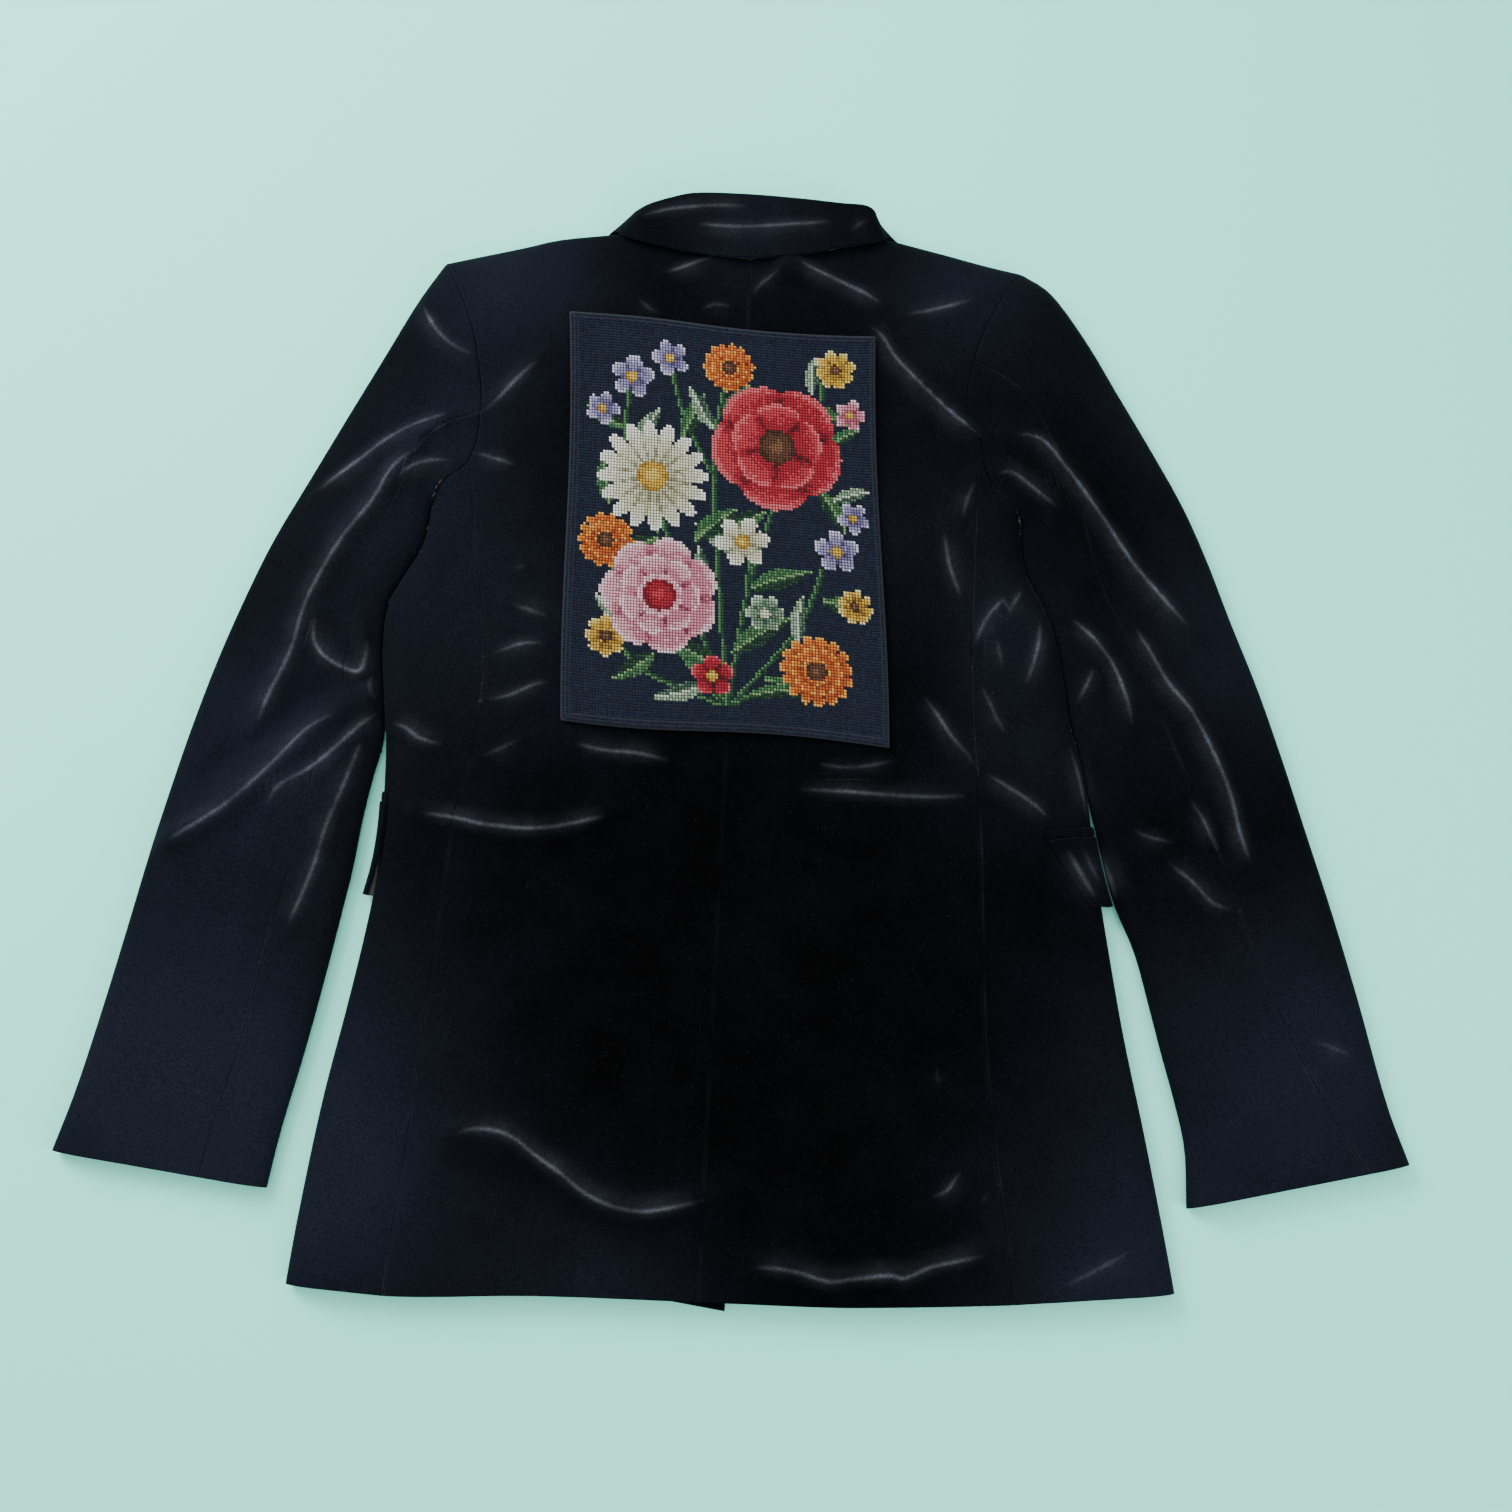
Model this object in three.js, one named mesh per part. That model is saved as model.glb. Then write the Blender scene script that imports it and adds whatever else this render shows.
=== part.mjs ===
// A woman's tailored velvet blazer, laid flat on its front, so that its back is uppermost.
// Millimetres, +Z up, the table at z = 0. The drawing frame of the tables below has x = 0 on the
// centre-back seam, x to the right as seen from above, and y = 0 at the hem, y towards the collar.
// Every piece is a wall of cloth: a grid of points on its face, and the same points moved inwards.
import * as THREE from "three";

const CLOTH = 2; // velvet, interfacing and lining together
const SEAM = 0.3; // gap between two pieces that are sewn together
const SHOULDER_GAP = 0.4; // from the shoulder's fold line up to the back and down to the front
const HALF_SEAM = SEAM / 2;
const EDGE_HEIGHT = 5; // height of the outermost line of every side fold
const FULL_HEIGHT = 16; // height of the back's face over the table
const HEM_HEIGHT = 14;
const HEM_RISE = 90; // how far above the hem the back has its full height
const CUFF_HEIGHT = 13;
const CUFF_RINGS = 4; // how many rings before the cuff the sleeve starts to thin
const TOP_ROLL = 25; // how far from a side fold the upper face reaches its full height
const LAYER = 2.9; // how far the fronts are lifted by flaps, lapels and button
const LAYER_START = 120; // above the hem
const LAYER_RISE = 60;
const FRONT_LAP = 2.4; // how far the left front is lifted by the right front's edge
const LAP_WIDTH = 62; // from the left front's edge, and then LAP_SLOPE back down to its own height
const LAP_SLOPE = 30;
const LAP_END = 480; // above the hem, and then LAP_FADE to no lift
const LAP_FADE = 40;
const MODEL_CENTRE = { x: 15, y: 362.5 }; // middle of the outline in the drawing frame

const SIDES = { left: -1, right: 1 };

// Side folds of the body, at heights above the hem
const BODY_SIDES = [
  { y: -40, left: -251, right: 297 },
  { y: 0, left: -248.5, right: 289 },
  { y: 42, left: -245, right: 281.5 },
  { y: 111, left: -237, right: 268 },
  { y: 172, left: -227, right: 255 },
  { y: 220, left: -220, right: 246.5 },
  { y: 260, left: -216, right: 240 },
  { y: 300, left: -217, right: 235 },
  { y: 338, left: -219, right: 229 },
  { y: 366, left: -223, right: 221.5 },
  { y: 400, left: -227, right: 216 },
  { y: 430, left: -226, right: 210 },
  { y: 448, left: -218, right: 202.5 },
  { y: 470, left: -207, right: 191 },
  { y: 500, left: -203, right: 187 },
];

// The hem's height, which rises to the right
const HEM = [
  { x: -260, y: 4 },
  { x: -185, y: 0 },
  { x: -97, y: 4 },
  { x: 16, y: 5 },
  { x: 93, y: 6 },
  { x: 217, y: 14 },
  { x: 290, y: 22 },
];

// Side-back seams on the upper face, and side-front seams on the table side
const SIDE_BACK_SEAM = [
  { y: 0, left: -187, right: 188 },
  { y: 45, left: -185, right: 183 },
  { y: 90, left: -181, right: 176 },
  { y: 160, left: -177, right: 168 },
  { y: 284, left: -169, right: 163 },
  { y: 338, left: -160, right: 159 },
  { y: 378, left: -157, right: 156 },
  { y: 414, left: -160, right: 155 },
  { y: 459, left: -168, right: 156 },
  { y: 500, left: -174, right: 157 },
  { y: 560, left: -183, right: 159 },
];
const SIDE_FRONT_INSET = 46; // from the side fold to the side-front seam

// Armhole seams from the shoulder's tip to the underarm
const ARMHOLE = {
  left: [
    { x: -209, y: 673 },
    { x: -194, y: 645 },
    { x: -184, y: 621 },
    { x: -177, y: 592 },
    { x: -174, y: 562 },
    { x: -179, y: 528 },
    { x: -197, y: 513 },
    { x: -203, y: 500 },
  ],
  right: [
    { x: 186, y: 683 },
    { x: 168, y: 652 },
    { x: 155, y: 621 },
    { x: 149, y: 588 },
    { x: 157, y: 556 },
    { x: 166, y: 528 },
    { x: 181, y: 514 },
    { x: 187, y: 500 },
  ],
};

// Shoulder lines from the neck to the shoulder's tip
const SHOULDER = {
  left: [
    { x: -91, y: 701 },
    { x: -131, y: 695 },
    { x: -158, y: 687 },
    { x: -209, y: 673 },
  ],
  right: [
    { x: 94, y: 705 },
    { x: 131, y: 696 },
    { x: 162, y: 688 },
    { x: 186, y: 683 },
  ],
};
const NECK_CENTRE_Y = 681;
const NECK_BOW = 6; // how far the back's neck seam sags below a straight line
const FRONT_NECK_BOW = 11; // how far the front's neck seam curves towards the shoulder

// Sleeve sections from armhole to cuff. outerX, outerY: a point on the outer fold. innerY: the same
// on the inner fold, and clear: how far that fold is from the body. elbow and forearm: where the two
// sleeve seams are, as shares of the way from the outer fold to the inner one.
const SLEEVE_SECTIONS = {
  left: [
    { outerX: -209, outerY: 673, innerY: 500, clear: 1.2, elbow: 0.62, forearm: 0.55 },
    { outerX: -226, outerY: 643, innerY: 474, clear: 1.2, elbow: 0.65, forearm: 0.55 },
    { outerX: -246, outerY: 600, innerY: 450, clear: 1.2, elbow: 0.68, forearm: 0.55 },
    { outerX: -266, outerY: 557, innerY: 425, clear: 1.2, elbow: 0.7, forearm: 0.55 },
    { outerX: -287, outerY: 511, innerY: 396, clear: 1.2, elbow: 0.71, forearm: 0.55 },
    { outerX: -306, outerY: 469, innerY: 366, clear: 1.2, elbow: 0.71, forearm: 0.55 },
    { outerX: -320, outerY: 430, innerY: 338, clear: 3, elbow: 0.71, forearm: 0.55 },
    { outerX: -333, outerY: 388, innerY: 310, clear: 9.5, elbow: 0.71, forearm: 0.55 },
    { outerX: -344, outerY: 345, innerY: 275, clear: 15.5, elbow: 0.71, forearm: 0.55 },
    { outerX: -353, outerY: 304, innerY: 240, clear: 18, elbow: 0.71, forearm: 0.55 },
    { outerX: -362, outerY: 258, innerY: 205, clear: 19, elbow: 0.71, forearm: 0.55 },
    { outerX: -370, outerY: 212, innerY: 168, clear: 19.5, elbow: 0.71, forearm: 0.55 },
    { outerX: -379, outerY: 162, innerY: 130, clear: 20, elbow: 0.71, forearm: 0.55 },
    { outerX: -389, outerY: 112, innerY: 88, clear: 22.5, elbow: 0.7, forearm: 0.55 },
    { outerX: -399, outerY: 74, innerY: 58, clear: 23.5, elbow: 0.7, forearm: 0.55 },
  ],
  right: [
    { outerX: 186, outerY: 683, innerY: 500, clear: 1.2, elbow: 0.4, forearm: 0.55 },
    { outerX: 207, outerY: 669, innerY: 474, clear: 1.2, elbow: 0.47, forearm: 0.58 },
    { outerX: 231, outerY: 635, innerY: 449, clear: 1.2, elbow: 0.53, forearm: 0.6 },
    { outerX: 252, outerY: 598, innerY: 420, clear: 1.2, elbow: 0.58, forearm: 0.62 },
    { outerX: 273, outerY: 561, innerY: 388, clear: 1.2, elbow: 0.6, forearm: 0.64 },
    { outerX: 295, outerY: 520, innerY: 355, clear: 1.6, elbow: 0.57, forearm: 0.66 },
    { outerX: 311, outerY: 482, innerY: 322, clear: 2, elbow: 0.54, forearm: 0.68 },
    { outerX: 325, outerY: 443, innerY: 292, clear: 6.5, elbow: 0.52, forearm: 0.7 },
    { outerX: 342, outerY: 398, innerY: 254, clear: 12.5, elbow: 0.49, forearm: 0.72 },
    { outerX: 357, outerY: 352, innerY: 224, clear: 17, elbow: 0.48, forearm: 0.74 },
    { outerX: 371, outerY: 305, innerY: 190, clear: 20.5, elbow: 0.46, forearm: 0.76 },
    { outerX: 386, outerY: 255, innerY: 160, clear: 22.5, elbow: 0.43, forearm: 0.79 },
    { outerX: 401, outerY: 200, innerY: 133, clear: 24, elbow: 0.39, forearm: 0.82 },
    { outerX: 416, outerY: 140, innerY: 105, clear: 24, elbow: 0.29, forearm: 0.85 },
    { outerX: 429, outerY: 103, innerY: 71, clear: 18, elbow: 0.2, forearm: 0.88 },
  ],
};

// Front edges on the table side: straight to the top button, then along the lapel's roll
const FRONT_EDGES = [
  { y: 0, left: 16, right: -28 },
  { y: 405, left: 16, right: -28 },
  { y: 636, left: -63, right: 63 },
];
const FRONT_CORNER_DROP = 6; // how far the left front's corner shows below the back's hem
const FRONT_CORNER_SHARE = 0.2; // how much of the front's width that corner takes up

// Where each row of the back and front panels starts on the centre side, when its other end is at the
// top of the side seam, at the shoulder's tip and at the neck
const CENTRE_ROWS = {
  back: { seamTop: 545, shoulderTip: 640, neck: NECK_CENTRE_Y },
  front: { seamTop: 490, shoulderTip: 600, neck: 636 },
};

// The largest folds of the upper face: ridges where height is positive, troughs where it is negative.
// reach: half the width at which the fold has all but faded.
const FOLDS = [
  { height: 5, reach: 20, path: [[-152, 95], [-115, 95], [-86, 76], [-56, 59], [-19, 58], [4, 64]] },
  { height: -4, reach: 20, path: [[-150, 70], [-112, 66], [-78, 48], [-30, 30]] },
  { height: 4, reach: 18, path: [[104, 606], [136, 575], [160, 556], [200, 556], [238, 505], [296, 430]] },
  { height: -4, reach: 18, path: [[118, 622], [150, 600], [178, 582], [205, 580], [228, 548]] },
  { height: 4, reach: 22, path: [[-190, 289], [-144, 284], [-110, 284], [-70, 294]] },
  { height: -3, reach: 20, path: [[-188, 314], [-140, 308], [-90, 312]] },
  { height: 5, reach: 22, path: [[-248, 350], [-287, 315], [-327, 278], [-345, 266]] },
  { height: -4, reach: 20, path: [[-252, 372], [-288, 344], [-330, 305]] },
  { height: 4, reach: 20, path: [[-212, 533], [-256, 468], [-280, 397], [-299, 340]] },
  { height: 4, reach: 20, path: [[258, 433], [295, 377], [319, 323], [331, 279]] },
  { height: 2, reach: 20, path: [[45, 312], [105, 314], [157, 318], [196, 322]] },
  { height: 4, reach: 20, path: [[32, 25], [77, 21], [112, 26], [170, 40]] },
  { height: 4, reach: 18, path: [[25, 676], [62, 664], [93, 650]] },
];

// Padding inside the shoulders
const SHOULDER_PADS = [
  { x: -172, y: 632 },
  { x: 158, y: 640 },
];
const PAD_HEIGHT = 8;
const PAD_REACH = { x: 42, y: 40 };

// The stitched canvas on the upper back: its corners, and how much its sides waver
const CANVAS_CORNERS = {
  topLeft: { x: -120, y: 634 },
  topRight: { x: 87, y: 626 },
  bottomRight: { x: 102, y: 346 },
  bottomLeft: { x: -104, y: 355 },
};
const CANVAS_WAVER = 2;
const CANVAS_LIFT = 0.6;
// Folds of the back flatten out under the canvas: half its width and height, how much it leans, and
// over what distance past its edge a fold grows back
const UNDER_CANVAS = { halfWidth: 112, halfHeight: 150, lean: -15 / 280, fade: 30 };

// Hip pockets. top and depth: the flap's top edge and its height. rise: how much it climbs on its way
// to the front. above and below: how far it reaches from the side fold on the upper face and on the
// table side, at its top and at its free edge. flare: how far that edge stands off.
const POCKETS = {
  left: { top: 298, depth: 60, rise: 0.05, above: [4, 2], below: [126, 122], flare: 4.5 },
  right: { top: 291, depth: 44, rise: 0.15, above: [31, 9], below: [112, 126], flare: 5 },
};
const FLAP_LIFT = 0.5;
const WELT_WIDTH = 6;
const WELT_CLOTH = 1;

const LAPELS = {
  left: { roll: [[-14, 492], [-61, 630]], edge: [[-34, 498], [-112, 634]], belly: 12 },
  right: { roll: [[-24, 412], [61, 630]], edge: [[-14, 408], [114, 634]], belly: 26 },
};

// flat: radius of its flat face. rim: how far its rounded edge reaches up the rim.
const BUTTON = { x: 0, y: 396, radius: 10, thickness: 2.2, flat: 8.5, rim: 0.9 };

// The collar strip from its end on the left front, over the back of the neck, to the right front.
// Three lines run along it: the neck seam, the roll where stand turns into fall, and the free edge.
// fold: half the distance between stand and fall at the roll.
const COLLAR_ROWS = [
  { seam: [-84, 664, 3.8], roll: [-69, 660, 2.6], edge: [-114, 668, 1.2], fold: 1.4 },
  { seam: [-87, 683, 3.9], roll: [-76, 688, 2.8], edge: [-112, 689, 1.3], fold: 1.4 },
  { seam: [-88, 697, 4.4], roll: [-81, 707, 4], edge: [-107, 702, 2.2], fold: 1.5 },
  { seam: [-87.5, 704, 8.5], roll: [-79, 714, 9], edge: [-98, 704, 8], fold: 2 },
  { seam: [-80, 698.5, 14], roll: [-69, 718, 16], edge: [-90, 698, 17.5], fold: 2.4 },
  { seam: [-60, 691, 15.2], roll: [-55, 722, 19], edge: [-66, 692, 20.4], fold: 2.7 },
  { seam: [-33, 684.5, 15.2], roll: [-38, 725.5, 20], edge: [-38, 685.5, 20.6], fold: 2.7 },
  { seam: [0, 682, 15.2], roll: [-5, 726, 20], edge: [-4, 681.5, 20.6], fold: 2.7 },
  { seam: [33, 685, 15.2], roll: [30, 724.5, 20], edge: [28, 685.5, 20.6], fold: 2.7 },
  { seam: [62, 693.5, 15.2], roll: [60, 722.5, 19.5], edge: [60, 696, 20.4], fold: 2.7 },
  { seam: [83, 702, 14], roll: [80, 724, 16], edge: [90, 701, 17.5], fold: 2.4 },
  { seam: [91, 708.5, 8.5], roll: [84, 719, 9], edge: [101, 708, 8], fold: 2 },
  { seam: [90.5, 701, 4.4], roll: [86, 711, 4], edge: [110, 705, 2.2], fold: 1.5 },
  { seam: [89.5, 686, 3.9], roll: [80, 691, 2.8], edge: [116, 691, 1.3], fold: 1.4 },
  { seam: [86, 666, 3.8], roll: [73, 662, 2.6], edge: [118, 670, 1.2], fold: 1.4 },
];

const lerp = (a, b, t) => a + (b - a) * t;
const clamp01 = (t) => Math.min(1, Math.max(0, t));
const easeInOut = (t) => clamp01(t) ** 2 * (3 - 2 * clamp01(t));
const quarterCosine = (t) => 1 - Math.cos((Math.PI / 2) * t);

// Smooth value of a table's column at a place along its key column
function columnAt(table, key, place, column) {
  const last = table.length - 1;
  let i = 0;
  while (i < last - 1 && place > table[i + 1][key]) i += 1;
  const t = (place - table[i][key]) / (table[i + 1][key] - table[i][key]);
  const value = (k) => table[Math.min(last, Math.max(0, k))][column];
  const knot = (k) => table[Math.min(last, Math.max(0, k))][key];
  const slope = (k) => (value(k + 1) - value(k - 1)) / (knot(k + 1) - knot(k - 1));
  const step = knot(i + 1) - knot(i);
  const u = clamp01(t);
  const blend = u * u * (3 - 2 * u);
  const start = (u * u * u - 2 * u * u + u) * step * slope(i);
  const end = (u * u * u - u * u) * step * slope(i + 1);
  return lerp(value(i), value(i + 1), blend) + start + end;
}

const sideX = (side, y) => columnAt(BODY_SIDES, "y", Math.min(y, BODY_SIDES.at(-1).y), side);
const hemY = (x) => columnAt(HEM, "x", x, "y");

// Evenly walked curve through a line's points: place(0) is its first point and place(1) its last
function curveThrough(points) {
  const knots = points.map((p) => new THREE.Vector2(p.x, p.y));
  const curve = new THREE.SplineCurve(knots);
  return (t) => curve.getPointAt(clamp01(t));
}

const armholeCurve = { left: curveThrough(ARMHOLE.left), right: curveThrough(ARMHOLE.right) };
const shoulderCurve = { left: curveThrough(SHOULDER.left), right: curveThrough(SHOULDER.right) };

function sleeveSection(side, ring) {
  const rows = SLEEVE_SECTIONS[side].map((row, index) => ({ ...row, index }));
  const at = (column) => columnAt(rows, "index", ring, column);
  const innerY = at("innerY");
  const innerX = sideX(side, innerY) + SIDES[side] * at("clear");
  const outer = new THREE.Vector2(at("outerX"), at("outerY"));
  return { outer, inner: new THREE.Vector2(innerX, innerY), elbow: at("elbow"), forearm: at("forearm") };
}
const RINGS = SLEEVE_SECTIONS.left.length - 1;

// Lines that the upper and lower faces roll over, as runs of points. They go on past the sleeve's ends,
// so that only their sides are near a face.
const LINE_STEPS = 48;
const SHOULDER_STEPS = 12;
const PAST_END = 40;
const BODY_LINE = { top: 500, bottom: -40 };
const beyond = (a, b, far) => b.clone().add(b.clone().sub(a).setLength(far));
function foldLines(side) {
  const outer = [];
  for (let k = 0; k <= SHOULDER_STEPS; k += 1) outer.push(shoulderCurve[side](k / SHOULDER_STEPS));
  outer.unshift(beyond(outer[1], outer[0], PAST_END));
  const sleeveInner = [];
  for (let k = 0; k <= LINE_STEPS; k += 1) {
    const section = sleeveSection(side, (k / LINE_STEPS) * RINGS);
    if (k > 0) outer.push(section.outer);
    sleeveInner.push(section.inner);
  }
  outer.push(beyond(outer.at(-2), outer.at(-1), PAST_END));
  sleeveInner.push(beyond(sleeveInner.at(-2), sleeveInner.at(-1), PAST_END));
  const bodyInner = [];
  for (let k = 0; k <= LINE_STEPS; k += 1) {
    const y = lerp(BODY_LINE.top, BODY_LINE.bottom, k / LINE_STEPS);
    bodyInner.push(new THREE.Vector2(sideX(side, y), y));
  }
  return { outer, sleeveInner, bodyInner };
}
const LINES = { left: foldLines("left"), right: foldLines("right") };

function distanceTo(line, x, y) {
  let best = Infinity;
  for (let i = 0; i + 1 < line.length; i += 1) {
    const a = line[i];
    const dx = line[i + 1].x - a.x;
    const dy = line[i + 1].y - a.y;
    const t = clamp01(((x - a.x) * dx + (y - a.y) * dy) / (dx * dx + dy * dy));
    best = Math.min(best, Math.hypot(x - a.x - t * dx, y - a.y - t * dy));
  }
  return best;
}

// Height of a quarter round: 0 at an edge, 1 from a distance of one radius inwards
const quarterRound = (q) => (q >= 1 ? 1 : Math.sqrt(1 - (1 - Math.max(0, q)) ** 2));

const FOLD_STEPS = 24;
const foldPaths = FOLDS.map((fold) => {
  const curve = new THREE.SplineCurve(fold.path.map(([x, y]) => new THREE.Vector2(x, y)));
  return { ...fold, line: curve.getPoints(FOLD_STEPS) };
});
const canvasMiddle = {
  x: (CANVAS_CORNERS.topLeft.x + CANVAS_CORNERS.bottomRight.x) / 2,
  y: (CANVAS_CORNERS.topLeft.y + CANVAS_CORNERS.bottomRight.y) / 2,
};
function outsideCanvas(x, y) {
  const lean = (y - canvasMiddle.y) * UNDER_CANVAS.lean;
  const dx = Math.abs(x - canvasMiddle.x - lean) - UNDER_CANVAS.halfWidth;
  const dy = Math.abs(y - canvasMiddle.y) - UNDER_CANVAS.halfHeight;
  return easeInOut(Math.max(dx, dy) / UNDER_CANVAS.fade);
}
function foldHeight(x, y) {
  let sum = 0;
  for (const fold of foldPaths) {
    const near = distanceTo(fold.line, x, y) / fold.reach;
    sum += fold.height * Math.exp(-3 * near * near);
  }
  return sum * outsideCanvas(x, y);
}
function padHeight(x, y) {
  let sum = 0;
  for (const pad of SHOULDER_PADS) {
    const near = ((x - pad.x) / PAD_REACH.x) ** 2 + ((y - pad.y) / PAD_REACH.y) ** 2;
    sum += PAD_HEIGHT * Math.exp(-near);
  }
  return sum;
}

// Upper face of body or sleeve. inner: the fold line on the body's own side, or the sleeve's.
function topHeight(side, x, y, inner, thin) {
  const full = FULL_HEIGHT - thin + padHeight(x, y) + foldHeight(x, y);
  const outerRound = quarterRound(distanceTo(LINES[side].outer, x, y) / TOP_ROLL);
  const innerRound = quarterRound(distanceTo(inner, x, y) / TOP_ROLL);
  return EDGE_HEIGHT + (full - EDGE_HEIGHT) * outerRound * innerRound;
}
const bodyThin = (y) => (FULL_HEIGHT - HEM_HEIGHT) * (1 - easeInOut(y / HEM_RISE));
const bodyTop = (side, x, y) => topHeight(side, x, y, LINES[side].bodyInner, bodyThin(y));

// Table-side face: flat, lifted where something lies under it, and rolled up at the fold lines
function underHeight(side, x, y, inner, lift) {
  const near = Math.min(distanceTo(LINES[side].outer, x, y), distanceTo(inner, x, y));
  return lift + (EDGE_HEIGHT - lift) * (1 - quarterRound(near / EDGE_HEIGHT));
}
const bodyLift = (y) => LAYER * easeInOut((y - LAYER_START) / LAYER_RISE);
const bodyUnder = (side, x, y) => underHeight(side, x, y, LINES[side].bodyInner, bodyLift(y));

const EPSILON = 1e-3;

// Closed wall from a face. face(u, v) gives a point, columns and rows list the values of u and v.
// Its normal is du x dv, times turn, and lift moves the whole wall out along it.
function wall(face, columns, rows, { turn = 1, thickness = CLOTH, lift = 0 } = {}) {
  const outer = [];
  const inner = [];
  const normals = rows.map((v) => columns.map((u) => {
    const du = face(u + EPSILON, v).sub(face(u - EPSILON, v));
    const dv = face(u, v + EPSILON).sub(face(u, v - EPSILON));
    return du.cross(dv).normalize().multiplyScalar(turn);
  }));
  // Where a seam runs slantwise into a fold, its own row can face the wrong way: the next row decides
  const last = rows.length - 1;
  for (const [rim, next] of [[0, 1], [last, last - 1]]) {
    normals[rim].forEach((normal, i) => {
      if (normal.dot(normals[next][i]) < 0) normal.negate();
    });
  }
  rows.forEach((v, j) => {
    columns.forEach((u, i) => {
      const point = face(u, v).addScaledVector(normals[j][i], lift);
      outer.push(point);
      inner.push(point.clone().addScaledVector(normals[j][i], -thickness));
    });
  });
  const width = columns.length;
  const total = outer.length;
  const triangles = [];
  const quad = (a, b, c, d) => {
    triangles.push(...(turn > 0 ? [a, b, c, a, c, d] : [a, c, b, a, d, c]));
  };
  for (let j = 0; j + 1 < rows.length; j += 1) {
    const first = j * width;
    const end = first + width - 1;
    for (let k = first; k < end; k += 1) {
      quad(k, k + 1, k + width + 1, k + width);
      quad(total + k, total + k + width, total + k + width + 1, total + k + 1);
    }
    quad(first, first + width, total + first + width, total + first);
    quad(end, total + end, total + end + width, end + width);
  }
  for (let i = 0; i + 1 < width; i += 1) {
    const k = total - width + i;
    quad(i, total + i, total + i + 1, i + 1);
    quad(k, k + 1, total + k + 1, total + k);
  }
  const geometry = new THREE.BufferGeometry().setFromPoints([...outer, ...inner]);
  geometry.setIndex(triangles);
  return geometry;
}

// Values from a to b in steps of equal size
const steps = (a, b, count) => Array.from({ length: count + 1 }, (_, i) => lerp(a, b, i / count));

const blazer = new THREE.Group();
blazer.position.set(-MODEL_CENTRE.x, -MODEL_CENTRE.y, 0);

const velvet = new THREE.MeshStandardMaterial({ color: 0x0d0e12, roughness: 0.9, metalness: 0 });
const canvas = new THREE.MeshStandardMaterial({ color: 0x1e2637, roughness: 0.85, metalness: 0 });
const horn = new THREE.MeshStandardMaterial({ color: 0x101012, roughness: 0.4, metalness: 0 });

function addPiece(name, geometry, material) {
  const mesh = new THREE.Mesh(geometry, material);
  mesh.name = name;
  blazer.add(mesh);
}

// Stations run round a sleeve and its armhole. On the upper face they go from 0 at the outer fold to
// TO_INNER at the inner fold, closer together at each fold, with a seam at one station between.
const TO_INNER = 16;
const ELBOW_STATION = 9;
const FOREARM_STATION = 8;
const JUNCTION = 11; // where the side-back and side-front seams run into the armhole
function shareAt(station, seamStation, seamShare) {
  if (station <= seamStation) return seamShare * quarterCosine(station / seamStation);
  const left = 1 - (station - seamStation) / (TO_INNER - seamStation);
  return seamShare + (1 - seamShare) * (1 - left * left);
}
function armholeShare(side, layer, station) {
  const section = SLEEVE_SECTIONS[side][0];
  if (layer === "top") return shareAt(station, ELBOW_STATION, section.elbow);
  return shareAt(station, FOREARM_STATION, section.forearm);
}

// Point of the armhole seam, moved onto the body by half a seam
function armholePoint(side, layer, station) {
  const share = armholeShare(side, layer, station);
  const point = armholeCurve[side](share);
  const along = armholeCurve[side](share + 0.01).sub(armholeCurve[side](share - 0.01)).normalize();
  return point.add(new THREE.Vector2(-along.y, along.x).multiplyScalar(-SIDES[side] * HALF_SEAM));
}

// Sleeves: a face goes round through the folds. Below 0 and past TO_INNER a station is on the table
// side, counted on from the fold that it has passed.
const LIFT_END = 4; // the ring where the underside has come down to the table
const CAP_END = 1; // the ring where the armhole's curve has turned into a straight section
function sleevePoint(side, ring, share, layer) {
  const section = sleeveSection(side, ring);
  const bend = clamp01(1 - ring / CAP_END) ** 2;
  const tip = armholeCurve[side](0);
  const chord = armholeCurve[side](1).sub(tip);
  const offset = armholeCurve[side](share).sub(tip);
  const along = offset.dot(chord) / chord.lengthSq();
  const across = chord.cross(offset) / chord.lengthSq();
  const way = section.inner.clone().sub(section.outer);
  const point = section.outer.clone().addScaledVector(way, lerp(share, along, bend));
  point.addScaledVector(new THREE.Vector2(-way.y, way.x), across * bend);
  const inner = LINES[side].sleeveInner;
  if (layer === "top") {
    const thin = (FULL_HEIGHT - CUFF_HEIGHT) * easeInOut((ring - RINGS + CUFF_RINGS) / CUFF_RINGS);
    return new THREE.Vector3(point.x, point.y, topHeight(side, point.x, point.y, inner, thin));
  }
  const lift = bodyLift(point.y) * (1 - easeInOut(ring / LIFT_END));
  return new THREE.Vector3(point.x, point.y, underHeight(side, point.x, point.y, inner, lift));
}
function sleeveFace(side, seamShift) {
  return (place, ring) => {
    const onTop = place >= 0 && place <= TO_INNER;
    const station = place > TO_INNER ? 2 * TO_INNER - place : Math.abs(place);
    const section = sleeveSection(side, ring);
    const shift = seamShift / section.outer.distanceTo(section.inner);
    const share = onTop
      ? shareAt(station, ELBOW_STATION, section.elbow + shift)
      : shareAt(station, FOREARM_STATION, section.forearm + shift);
    return sleevePoint(side, ring, share, onTop ? "top" : "under");
  };
}
const FIRST_RING = 0.012; // a seam's width past the armhole
const rings = [FIRST_RING, ...steps(1, RINGS, RINGS - 1)];
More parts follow.
